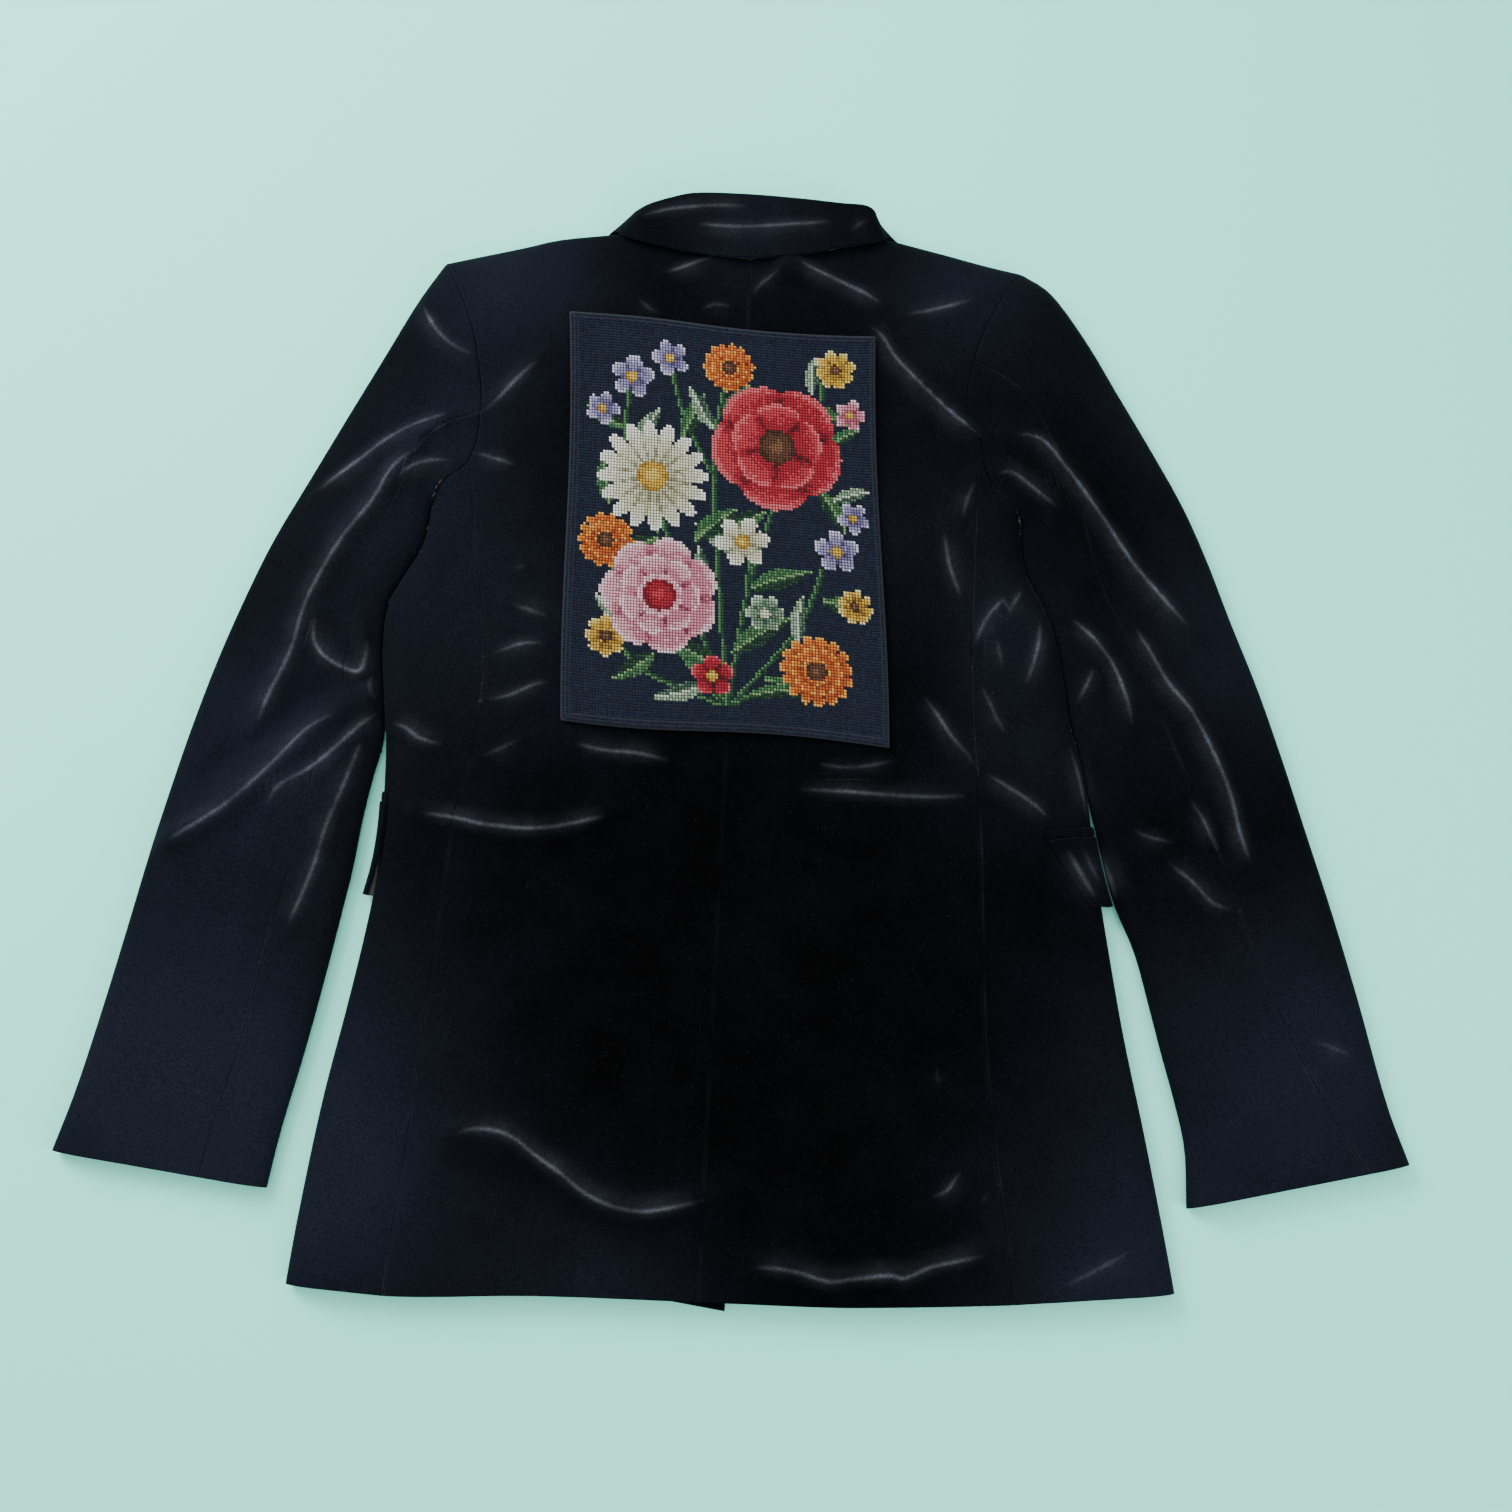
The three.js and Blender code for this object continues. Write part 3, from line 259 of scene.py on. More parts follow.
SLEEVE_SECTIONS = {  # outer x, outer y, inner y, clear of the body, elbow seam, forearm seam
    "left": np.array([
        (-209, 673, 500, 1.2, 0.62, 0.55), (-226, 643, 474, 1.2, 0.65, 0.55),
        (-246, 600, 450, 1.2, 0.68, 0.55), (-266, 557, 425, 1.2, 0.7, 0.55),
        (-287, 511, 396, 1.2, 0.71, 0.55), (-306, 469, 366, 1.2, 0.71, 0.55),
        (-320, 430, 338, 3, 0.71, 0.55), (-333, 388, 310, 9.5, 0.71, 0.55),
        (-344, 345, 275, 15.5, 0.71, 0.55), (-353, 304, 240, 18, 0.71, 0.55),
        (-362, 258, 205, 19, 0.71, 0.55), (-370, 212, 168, 19.5, 0.71, 0.55),
        (-379, 162, 130, 20, 0.71, 0.55), (-389, 112, 88, 22.5, 0.7, 0.55),
        (-399, 74, 58, 23.5, 0.7, 0.55),
    ]),
    "right": np.array([
        (186, 683, 500, 1.2, 0.4, 0.55), (207, 669, 474, 1.2, 0.47, 0.58),
        (231, 635, 449, 1.2, 0.53, 0.6), (252, 598, 420, 1.2, 0.58, 0.62),
        (273, 561, 388, 1.2, 0.6, 0.64), (295, 520, 355, 1.6, 0.57, 0.66),
        (311, 482, 322, 1.4, 0.54, 0.68), (325, 443, 292, 4.4, 0.52, 0.7),
        (342, 398, 254, 9.4, 0.49, 0.72), (357, 352, 224, 17, 0.48, 0.74),
        (371, 305, 190, 20.5, 0.46, 0.76), (386, 255, 160, 22.5, 0.43, 0.79),
        (401, 200, 133, 24, 0.39, 0.82), (416, 140, 105, 24, 0.29, 0.85),
        (429, 103, 71, 18, 0.2, 0.88),
    ]),
}
FRONT_EDGES = {"left": [(0, 16), (405, 16), (636, -63)], "right": [(0, -28), (405, -28), (636, 63)]}
FRONT_CORNER_DROP, FRONT_CORNER_SHARE = {"left": 6.0, "right": -2.4}, 0.2
TUCKED = 1.0  # how much closer than their solids the sleeves lie to the body
CENTRE_ROWS = {"top": (545.0, 640.0, NECK_CENTRE_Y), "under": (490.0, 600.0, 636.0)}
CANVAS_CORNERS = {"top": [(-120, 634), (87, 626)], "bottom": [(-104, 355), (102, 346)]}
CANVAS_WIDE, CANVAS_HIGH, CANVAS_WAVER = 207.0, 279.0, 2.0
SHOULDER_PADS = [(-172, 632), (158, 640)]
PAD_HEIGHT, PAD_X, PAD_Y = 8.0, 42.0, 40.0

# %% [markdown]
# A few small tools for smooth lines: a value read from a table, a curve through some points, and the
# distance from many points to a line at once. Numpy works on whole grids of points, so a panel of
# sixteen thousand points takes no longer than a breath.

# %% Line tools
def ease(t):
    t = np.clip(t, 0.0, 1.0)
    return t * t * (3 - 2 * t)


def quarter_round(q):
    """Height of a quarter circle: 0 at its edge, 1 from one radius inwards."""
    return np.sqrt(1 - (1 - np.clip(q, 0, 1)) ** 2)


def read_table(knots, values, place):
    """Smooth value of a table at each place."""
    knots, values = np.asarray(knots, float), np.asarray(values, float)
    place = np.asarray(place, float)
    i = np.clip(np.searchsorted(knots, place, side="right") - 1, 0, len(knots) - 2)
    last = len(knots) - 1
    before, after = np.maximum(np.arange(last + 1) - 1, 0), np.minimum(np.arange(last + 1) + 1, last)
    slope = (values[after] - values[before]) / (knots[after] - knots[before])
    step = knots[i + 1] - knots[i]
    u = np.clip((place - knots[i]) / step, 0, 1)
    blend = u * u * (3 - 2 * u)
    start, end = (u**3 - 2 * u * u + u) * step * slope[i], (u**3 - u * u) * step * slope[i + 1]
    return values[i] + (values[i + 1] - values[i]) * blend + start + end


def smooth_line(points, count=24):
    """Points of a curve that passes through the given ones."""
    p = np.asarray(points, float)
    t = np.linspace(0, len(p) - 1, count * (len(p) - 1) + 1)
    i = np.minimum(t.astype(int), len(p) - 2)
    f = (t - i)[:, None]
    a, b = p[i], p[i + 1]
    before, after = p[np.maximum(i - 1, 0)], p[np.minimum(i + 2, len(p) - 1)]
    start, end = (b - before) / 2, (after - a) / 2
    return (2 * a - 2 * b + start + end) * f**3 + (-3 * a + 3 * b - 2 * start - end) * f**2 + start * f + a


def walk(points, share):
    """Point at each share of a curve's length."""
    line = smooth_line(points, 60)
    length = np.concatenate([[0], np.cumsum(np.hypot(*np.diff(line, axis=0).T))])
    at = np.clip(share, 0, 1) * length[-1]
    return np.stack([np.interp(at, length, line[:, 0]), np.interp(at, length, line[:, 1])], axis=-1)


def distance(line, x, y):
    """Distance to a line of points, and on which side of it each point is."""
    best = np.full(np.shape(x), 1e9)
    side = np.zeros(np.shape(x))
    for (ax, ay), (bx, by) in zip(line[:-1], line[1:]):
        dx, dy = bx - ax, by - ay
        t = np.clip(((x - ax) * dx + (y - ay) * dy) / max(dx * dx + dy * dy, 1e-9), 0, 1)
        away = np.hypot(x - ax - t * dx, y - ay - t * dy)
        nearer = away < best
        best = np.where(nearer, away, best)
        side = np.where(nearer, np.sign(dx * (y - ay) - dy * (x - ax)), side)
    return best, side


def side_x(side, y):
    return read_table(BODY_SIDES[:, 0], BODY_SIDES[:, 1 if side == "left" else 2], np.minimum(y, 500.0))


def hem_y(x):
    return read_table(HEM[:, 0], HEM[:, 1], x)


def sleeve_section(side, ring):
    table = SLEEVE_SECTIONS[side]
    outer_x, outer_y, inner_y, clear, elbow, forearm = (
        read_table(np.arange(len(table)), table[:, k], ring) for k in range(6)
    )
    inner_x = side_x(side, inner_y) + SIDES[side] * np.maximum(clear - TUCKED, 0.2)
    return np.stack([outer_x, outer_y], -1), np.stack([inner_x, inner_y], -1), elbow, forearm


RINGS = len(SLEEVE_SECTIONS["left"]) - 1
PAST_END = 40.0


def beyond(a, b):
    way = b - a
    return b + way / np.hypot(*way) * PAST_END


def fold_lines(side):
    shoulder = walk(SHOULDER[side], np.linspace(0, 1, 13))
    outer, inner, _, _ = sleeve_section(side, np.linspace(0, RINGS, 49))
    past = beyond(shoulder[1], shoulder[0])[None]
    outer = np.concatenate([past, shoulder, outer[1:], beyond(outer[-2], outer[-1])[None]])
    inner = np.concatenate([inner, beyond(inner[-2], inner[-1])[None]])
    ys = np.linspace(500, -40, 49)
    return {"outer": outer, "sleeve": inner, "body": np.stack([side_x(side, ys), ys], -1)}


LINES = {side: fold_lines(side) for side in SIDES}
print("fold lines:", {side: len(LINES[side]["outer"]) for side in SIDES})

# %% [markdown]
# The folds of the velvet are placed one by one. Each is a soft ridge along a curve, or a trough where its
# height is negative, and its two flanks differ: lean 1 makes the flank on the left of the curve
# steep, and -1 the right one. A cloth simulation would give folds of its own choosing, and these have
# to run where this blazer's folds run. The large folds are the solid's own and the fine ones are
# added here. None runs on under the canvas, which holds the cloth flat.

# %% Folds
LARGE_FOLDS = [  # height, reach, points
    (5, 20, [(-152, 95), (-115, 95), (-86, 76), (-56, 59), (-19, 58), (4, 64)]),
    (-4, 20, [(-150, 70), (-112, 66), (-78, 48), (-30, 30)]),
    (4, 18, [(104, 606), (136, 575), (160, 556), (200, 556), (238, 505), (296, 430)]),
    (-4, 18, [(118, 622), (150, 600), (178, 582), (205, 580), (228, 548)]),
    (4, 22, [(-190, 289), (-144, 284), (-110, 284), (-70, 294)]),
    (-3, 20, [(-188, 314), (-140, 308), (-90, 312)]),
    (5, 22, [(-248, 350), (-287, 315), (-327, 278), (-345, 266)]),
    (-4, 20, [(-252, 372), (-288, 344), (-330, 305)]),
    (4, 20, [(-212, 533), (-256, 468), (-280, 397), (-299, 340)]),
    (4, 20, [(258, 433), (295, 377), (319, 323), (331, 279)]),
    (2, 20, [(45, 312), (105, 314), (157, 318), (196, 322)]),
    (4, 20, [(32, 25), (77, 21), (112, 26), (170, 40)]),
    (4, 18, [(25, 676), (62, 664), (93, 650)]),
]
FINE_FOLDS = [  # height, half width, lean, points
    (2.2, 9, -1, [(-21, 683), (-39, 675), (-60, 666)]),
    (2.6, 12, 1, [(28, 682), (43, 673), (62, 664), (80, 656), (93, 648)]),
    (-2.0, 9, 0, [(26, 662), (53, 655), (75, 640), (90, 631)]),
    (1.6, 8, -1, [(25, 676), (8, 662), (2, 652)]),
    (1.8, 8, 1, [(-76, 650), (-66, 641), (-56, 638)]),
    (1.6, 7, 1, [(-34, 640), (-22, 646), (-8, 644)]),
    (3.0, 8, 1, [(80, 636), (90, 630), (101, 612), (114, 597), (136, 575), (160, 556)]),
    (-2.4, 9, 0, [(98, 632), (116, 612), (140, 592), (160, 574)]),
    (3.0, 8, 1, [(178, 560), (198, 557), (216, 536), (238, 505), (259, 473), (288, 439), (296, 430)]),
    (1.8, 7, -1, [(168, 532), (179, 535), (192, 526), (212, 510)]),
    (2.4, 8, 1, [(-221, 640), (-209, 619), (-195, 606), (-179, 599)]),
    (2.2, 8, -1, [(-175, 559), (-163, 571), (-150, 587), (-136, 601)]),
    (1.8, 8, 1, [(-179, 533), (-165, 530), (-144, 524)]),
    (2.6, 9, -1, [(-191, 560), (-211, 553), (-232, 541), (-251, 524), (-267, 510), (-280, 498)]),
    (1.6, 7, 1, [(-190, 556), (-213, 542)]),
    (3.0, 9, 1, [(-212, 533), (-228, 518), (-238, 496), (-256, 468), (-268, 443), (-276, 421), (-280, 397),
                 (-285, 380), (-293, 360), (-299, 340)]),
    (1.8, 7, -1, [(-188, 527), (-205, 525), (-217, 519), (-230, 506)]),
    (3.2, 8, -1, [(-268, 417), (-268, 400), (-259, 388), (-239, 380), (-235, 391), (-236, 406)]),
    (1.8, 7, 1, [(-230, 386), (-231, 371), (-225, 361)]),
    (2.4, 13, 1, [(-246, 352), (-265, 341), (-287, 315), (-309, 292), (-327, 278), (-347, 264)]),
    (2.2, 8, -1, [(-221, 360), (-240, 337), (-262, 316), (-281, 303), (-287, 288)]),
    (1.6, 16, 1, [(-230, 343), (-241, 305), (-249, 279), (-255, 250), (-267, 213)]),
    (2.4, 13, -1, [(-218, 349), (-205, 345), (-194, 338), (-177, 334)]),
    (2.0, 10, -1, [(-192, 290), (-169, 288), (-144, 284), (-110, 284), (-70, 294)]),
    (1.8, 8, 1, [(-157, 365), (-140, 369), (-124, 377), (-112, 379)]),
    (1.6, 7, 1, [(-156, 328), (-143, 334), (-128, 343)]),
    (1.8, 8, 1, [(-156, 394), (-136, 403), (-116, 405)]),
    (1.8, 8, -1, [(-146, 430), (-131, 426), (-116, 421)]),
    (1.4, 7, 1, [(-147, 452), (-132, 458)]),
    (1.8, 8, -1, [(-98, 340), (-77, 336), (-55, 335), (-32, 330)]),
    (0.4, 8, 1, [(55, 334), (80, 332), (110, 338)]),
    (1.0, 9, -1, [(45, 316), (76, 316), (105, 315), (134, 315), (157, 317)]),
    (1.6, 8, 1, [(122, 383), (133, 370), (144, 354), (154, 343), (159, 333)]),
    (1.6, 8, -1, [(135, 495), (140, 468), (149, 444)]),
    (1.8, 8, 1, [(157, 531), (150, 513), (148, 499)]),
    (2.4, 8, -1, [(181, 453), (165, 435), (156, 413)]),
    (1.8, 7, -1, [(190, 459), (182, 445), (173, 427)]),
    (1.8, 7, 1, [(169, 426), (173, 412), (176, 396)]),
    (2.0, 13, -1, [(200, 440), (197, 413), (189, 388)]),
    (1.6, 8, 1, [(160, 393), (170, 372), (178, 356)]),
    (2.4, 12, 1, [(163, 333), (178, 324), (196, 313), (207, 303)]),
    (1.2, 10, -1, [(103, 643), (130, 648), (157, 656)]),
    (2.4, 9, 1, [(217, 438), (234, 423), (248, 402), (256, 379), (258, 365)]),
    (1.8, 8, -1, [(236, 408), (229, 392), (223, 378)]),
    (2.6, 9, 1, [(258, 433), (270, 413), (281, 394), (295, 377), (310, 347), (319, 323), (324, 301),
                 (331, 279)]),
    (1.4, 8, 1, [(256, 302), (268, 296), (289, 292)]),
    (1.6, 9, -1, [(277, 282), (294, 270), (308, 256), (323, 252)]),
    (1.4, 8, 1, [(292, 324), (303, 308), (311, 288)]),
    (1.2, 10, 1, [(364, 176), (380, 171), (397, 165)]),
    (3.0, 9, -1, [(-152, 95), (-141, 99), (-127, 99), (-115, 95), (-102, 86), (-86, 76), (-72, 66), (-56, 59),
                  (-37, 56), (-19, 59), (0, 64)]),
    (2.4, 9, -1, [(30, 27), (46, 27), (60, 25), (77, 21), (91, 23), (112, 26), (122, 25), (137, 32),
                  (153, 36), (172, 41)]),
    (1.6, 8, 1, [(134, 71), (146, 76), (156, 91)]),
    (1.2, 7, -1, [(138, 149), (140, 135)]),
    (1.4, 8, 1, [(165, 68), (173, 77)]),
    (1.2, 11, 1, [(215, 23), (236, 34), (258, 47)]),
    (1.8, 7, 1, [(-40, 702), (-8, 701), (24, 704), (56, 708)]),
    (1.4, 6, -1, [(-78, 706), (-58, 712), (-30, 716), (0, 717)]),
    (1.2, 6, 1, [(64, 700), (74, 708), (82, 714)]),
    (1.6, 5, 1, [(213, 291), (220, 279), (229, 264), (238, 251)]),
    (1.8, 5, -1, [(237, 295), (242, 280), (247, 266), (250, 252)]),
    (1.0, 4, 1, [(225, 291), (231, 277), (239, 262)]),
    (1.0, 5, 0, [(218, 356), (226, 332), (232, 302)]),
]
UNDER_FOLDS = [  # the same on the table side, where the cloth is pressed flatter
    (1.2, 10, 1, [(-170, 470), (-140, 440), (-95, 425)]),
    (1.0, 9, -1, [(-150, 380), (-110, 372), (-60, 380)]),
    (1.3, 10, 1, [(150, 500), (120, 460), (96, 430)]),
    (1.1, 9, -1, [(60, 330), (104, 322), (150, 330)]),
    (1.0, 10, 1, [(40, 260), (84, 246), (130, 250)]),
]
FOLD_REACH = 2.2  # widths from a fold's line at which it has faded
STEEP, GENTLE = 0.72, 1.7


def fold_sum(folds, x, y):
    total = np.zeros(np.shape(x))
    for height, width, lean, points in folds:
        line = smooth_line(points, 8)
        far = width * GENTLE * FOLD_REACH
        low, high = line.min(0) - far, line.max(0) + far
        near = (x > low[0]) & (x < high[0]) & (y > low[1]) & (y < high[1])
        if not near.any():
            continue
        away, side = distance(line, x[near], y[near])
        widths = width * np.where(side * lean > 0, STEEP, np.where(side * lean < 0, GENTLE, 1.0))
        total[near] += height * np.exp(-3 * (away / widths) ** 2)
    return total


HELD_HALF = (112.0, 150.0)  # the canvas's half width and height, with a little round it
HELD_LEAN = -15 / 280  # with each millimetre up, the canvas's middle moves that far
LARGE_FADE, FINE_FADE, FINE_START = 30.0, 14.0, 6.0


def outside_canvas(x, y):
    """How much of the large and of the fine folds is left round the canvas, which holds the cloth flat."""
    middle = (CANVAS_CORNERS["top"][0][0] + CANVAS_CORNERS["bottom"][1][0]) / 2
    height = (CANVAS_CORNERS["top"][0][1] + CANVAS_CORNERS["bottom"][1][1]) / 2
    away = np.maximum(np.abs(x - middle - (y - height) * HELD_LEAN) - HELD_HALF[0],
                      np.abs(y - height) - HELD_HALF[1])
    return ease(away / LARGE_FADE), ease((away + FINE_START) / FINE_FADE)


def slow_waves(x, y):
    """Low uneven waves of the cloth between its folds."""
    return (
        0.2 * np.sin(x / 31 + y / 57 + 0.6) * np.sin(y / 43 - x / 90)
        + 0.1 * np.sin(x / 17 - y / 23 + 2.1) * np.sin(x / 49 + y / 29)
        + 0.12 * np.sin(x / 7.3 + y / 11.7) * np.sin(y / 8.9 - x / 13.1 + 1.3)
    )


print("folds:", len(LARGE_FOLDS), "large and", len(FINE_FOLDS) + len(UNDER_FOLDS), "fine")

# %% [markdown]
# Along the folds and at the seams' edges the velvet is given painted sheen, where the real cloth
# shines as it turns. Each shell carries it as a colour attribute: red is the painted sheen along the
# folds and seam edges, fading unevenly to both sides and towards a fold's ends, green the painted
# sheen of broad lighter patches, and blue how far off the fold's line is, with its side. The material
# draws the thin bright core from blue: a distance keeps its truth between the vertices, where a
# painted line would blur.

# %% Painted sheen
# Painted sheen: patches where the cloth is drawn lighter, as it shines more there.
SHEEN_PATCHES = [  # how much, x, y, reach
    (1.0, -350, 130, 120), (0.75, -300, 330, 80), (0.45, -250, 480, 70), (0.85, -160, 660, 65),
    (0.6, 150, 665, 75), (0.55, 0, 705, 50), (0.85, -225, 60, 85), (0.6, -60, -5, 65), (0.8, 255, 25, 85),
    (0.7, 340, 430, 80), (0.7, 300, 590, 60), (0.85, 375, 150, 110), (0.4, 195, 350, 60),
    (0.45, -150, 420, 90), (0.35, 130, 490, 70), (0.45, -200, 560, 60), (0.2, -190, 190, 70),
    (0.15, 235, 170, 60), (0.5, 232, 273, 14), (0.4, 180, 430, 40),
]
FAINT = 0.02  # shine too weak to show
GLOW_END, HIGH_FOLD, FOLD_TAPER = 3.5, 3.0, 22.0


def fold_sheen(x, y, folds):
    """How bright the painted sheen along the folds is, and the signed distance to the fold it follows.

    Half way between two folds the sign changes, so the second fold's share is taken off there.
    """
    first, second = np.zeros(np.shape(x)), np.zeros(np.shape(x))
    off = np.full(np.shape(x), FOLD_FAR)
    for height, width, lean, points in folds:
        if height <= 0:
            continue
        line = smooth_line(points, 8)
        far = GLOW_END * CREASE_GLOW
        near = (x > line[:, 0].min() - far) & (x < line[:, 0].max() + far)
        near &= (y > line[:, 1].min() - far) & (y < line[:, 1].max() + far)
        if not near.any():
            continue
        px, py = x[near], y[near]
        away, side = distance(line, px, py)
        ends = np.minimum(*(np.hypot(px - line[end, 0], py - line[end, 1]) for end in (0, -1)))
        uneven = 0.72 + 0.28 * np.sin(px / 9 + py / 13 + width) * np.sin(px / 17 - py / 7 + height)
        glow = CREASE_GLOW * np.where(side * lean > 0, 0.8, 1.3)
        sheen_strength = 0.4 + 0.6 * min(height / HIGH_FOLD, 1)
        crease_sheen = sheen_strength * uneven * np.exp(-((away / glow) ** 2)) * ease(ends / FOLD_TAPER)
        off[near] = np.where(crease_sheen > first[near], np.clip(away * side, -FOLD_FAR, FOLD_FAR), off[near])
        second[near] = np.maximum(second[near], np.minimum(crease_sheen, first[near]))
        first[near] = np.maximum(first[near], crease_sheen)
    return np.maximum(first - second - FAINT, 0), off


def sheen_patches(x, y):
    total = np.zeros(np.shape(x))
    for much, patch_x, patch_y, reach in SHEEN_PATCHES:
        total += much * np.exp(-((x - patch_x) ** 2 + (y - patch_y) ** 2) / reach**2)
    return total

# %% [markdown]
# Two height maps then give every point of the velvet its place: one for the back and the tops of the
# sleeves, which stand about 16 mm over the table and roll down at the side folds, and one for the
# table side, which lies flat and is lifted by 3 mm where lapels, flaps and the button are under it.

# %% Height maps
def top_height(side, x, y, inner, thin):
    large, fine_mask = outside_canvas(x, y)
    folds = fold_sum([(h, r, 0, p) for h, r, p in LARGE_FOLDS], x, y) * large
    pad = 0
    for pad_x, pad_y in SHOULDER_PADS:
        pad = pad + PAD_HEIGHT * np.exp(-(((x - pad_x) / PAD_X) ** 2) - ((y - pad_y) / PAD_Y) ** 2)
    outer_away = distance(LINES[side]["outer"], x, y)[0]
    inner_away = distance(LINES[side][inner], x, y)[0]
    rounds = quarter_round(outer_away / TOP_ROLL) * quarter_round(inner_away / TOP_ROLL)
    height = EDGE_HEIGHT + (FULL_HEIGHT - thin + pad + folds - EDGE_HEIGHT) * rounds
    fine = fold_sum(FINE_FOLDS, x, y) * fine_mask + slow_waves(x, y) * fine_mask
    return height + fine * ease(np.minimum(outer_away, inner_away) / FINE_FADE)


def under_height(side, x, y, inner, lift):
    near = np.minimum(distance(LINES[side]["outer"], x, y)[0], distance(LINES[side][inner], x, y)[0])
    return lift + (EDGE_HEIGHT - lift) * (1 - quarter_round(near / EDGE_HEIGHT))


def body_top(side, x, y):
    thin = (FULL_HEIGHT - HEM_HEIGHT) * (1 - ease(y / HEM_RISE))
    return top_height(side, x, y, "body", thin)


def body_lift(y):
    return LAYER * ease((y - LAYER_START) / LAYER_RISE)


def body_under(side, x, y):
    lift = body_lift(y)
    raised = fold_sum(UNDER_FOLDS, x, y) * ease((lift - 2) / 0.9)
    return under_height(side, x, y, "body", lift) + raised


sample = np.array([0.0]), np.array([200.0])
print("height of the back at its middle:", body_top("right", *sample).round(2), "mm")

# %% [markdown]
# A piece of cloth is a grid of points on its face and the same points moved inwards by its thickness,
# closed at the rim. The face dips by 0.5 mm over the last 2 mm before a sewn edge, which leaves the
# soft groove of a seam. A solidify modifier could thicken a plain sheet too, but it can't round a
# chosen edge. Grid lines stand closer together at the edges, so that the dip is smooth.

# %% Cloth shells
CLOTH = 1.3
SEAM_DIP, SEAM_REACH = 0.5, 1.8
EDGE_SHARES = np.array([0.0, 0.002, 0.006, 0.013])


def crowded(start, end, count):
    """Values from start to end, with more of them near both ends."""
    middle = np.linspace(0.026, 0.974, count)
    return start + (end - start) * np.concatenate([EDGE_SHARES, middle, 1 - EDGE_SHARES[::-1]])


def along_rows(points, axis):
    """Millimetres from the first line of the grid along an axis, and to the last one."""
    steps = np.linalg.norm(np.diff(points, axis=axis), axis=2)
    walked = np.concatenate([np.zeros_like(np.take(steps, [0], axis)), np.cumsum(steps, axis)], axis)
    return walked, np.take(walked, [-1], axis) - walked


def face_normals(points, turn):
    """Normals of a grid, row by row from its middle, so that none flips to the other side."""
    normals = np.cross(np.gradient(points, axis=1), np.gradient(points, axis=0)) * turn
    normals /= np.maximum(np.linalg.norm(normals, axis=2, keepdims=True), 1e-9)
    middle = len(points) // 2
    for rows in (range(middle + 1, len(points)), range(middle - 1, -1, -1)):
        for j in rows:
            before = normals[j - 1] if rows.step == 1 else normals[j + 1]
            against = (normals[j] * before).sum(1) < 0
            normals[j][against] *= -1
    return normals


def to_frame(points):
    return (np.asarray(points, float).reshape(-1, 3) - (*MIDDLE, 0)) * MM


def add_mesh(name, points, faces, materials, indices=None):
    mesh = bpy.data.meshes.new(name)
    mesh.from_pydata(to_frame(points).tolist(), [], np.asarray(faces).tolist())
    for material in materials:
        mesh.materials.append(material)
    if indices is not None:
        mesh.polygons.foreach_set("material_index", indices)
    mesh.shade_smooth()
    mesh.update()
    piece = bpy.data.objects.new(name, mesh)
    bpy.context.scene.collection.objects.link(piece)
    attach(piece, "root")
    return piece


def grid_faces(rows, columns, first=0):
    k = (np.arange(rows - 1)[:, None] * columns + np.arange(columns - 1)).ravel() + first
    return np.stack([k, k + 1, k + columns + 1, k + columns], axis=1)


def cloth_area(points):
    across = np.cross(points[:-1, 1:] - points[:-1, :-1], points[1:, :-1] - points[:-1, :-1])
    back = np.cross(points[1:, :-1] - points[1:, 1:], points[:-1, 1:] - points[1:, 1:])
    return (np.linalg.norm(across, axis=2).sum() + np.linalg.norm(back, axis=2).sum()) / 2 * MM**2


CUTS = {}
SEAM_SHINE, SHEEN_DIP, SHEEN_REACH = 0.7, 0.3, 0.13  # painted sheen on the shoulders of a groove, where the cloth turns
ROLL_LENGTH = 8.0  # what a panel spends on rolling down at its ends


def add_painted_sheen(piece, points, normals, dip):
    x, y = points[..., 0], points[..., 1]
    above, below = (fold_sheen(x, y, folds) for folds in (FINE_FOLDS, UNDER_FOLDS))
    crease_sheen, off = np.where(normals[..., 2] > 0, above, below)
    # Painted sheen along the shoulders of each seam's groove.
    seam_sheen = SEAM_SHINE * (0.5 + 0.5 * np.sin(x / 23 + y / 31) * np.sin(y / 11 - x / 19))
    crease_sheen = np.maximum(crease_sheen, seam_sheen * np.exp(-(((dip - SHEEN_DIP) / SHEEN_REACH) ** 2)))
    side_of_fold = 0.5 + off / FOLD_FAR / 2
    nap = np.stack([crease_sheen, sheen_patches(x, y), side_of_fold, np.ones_like(x)], -1).reshape(-1, 4)
    # The attribute holds the painted sheen that the velvet material draws.
    layer = piece.data.color_attributes.new("nap", "FLOAT_COLOR", "POINT")
    layer.data.foreach_set("color", np.concatenate([nap, nap]).ravel().astype(np.float32))


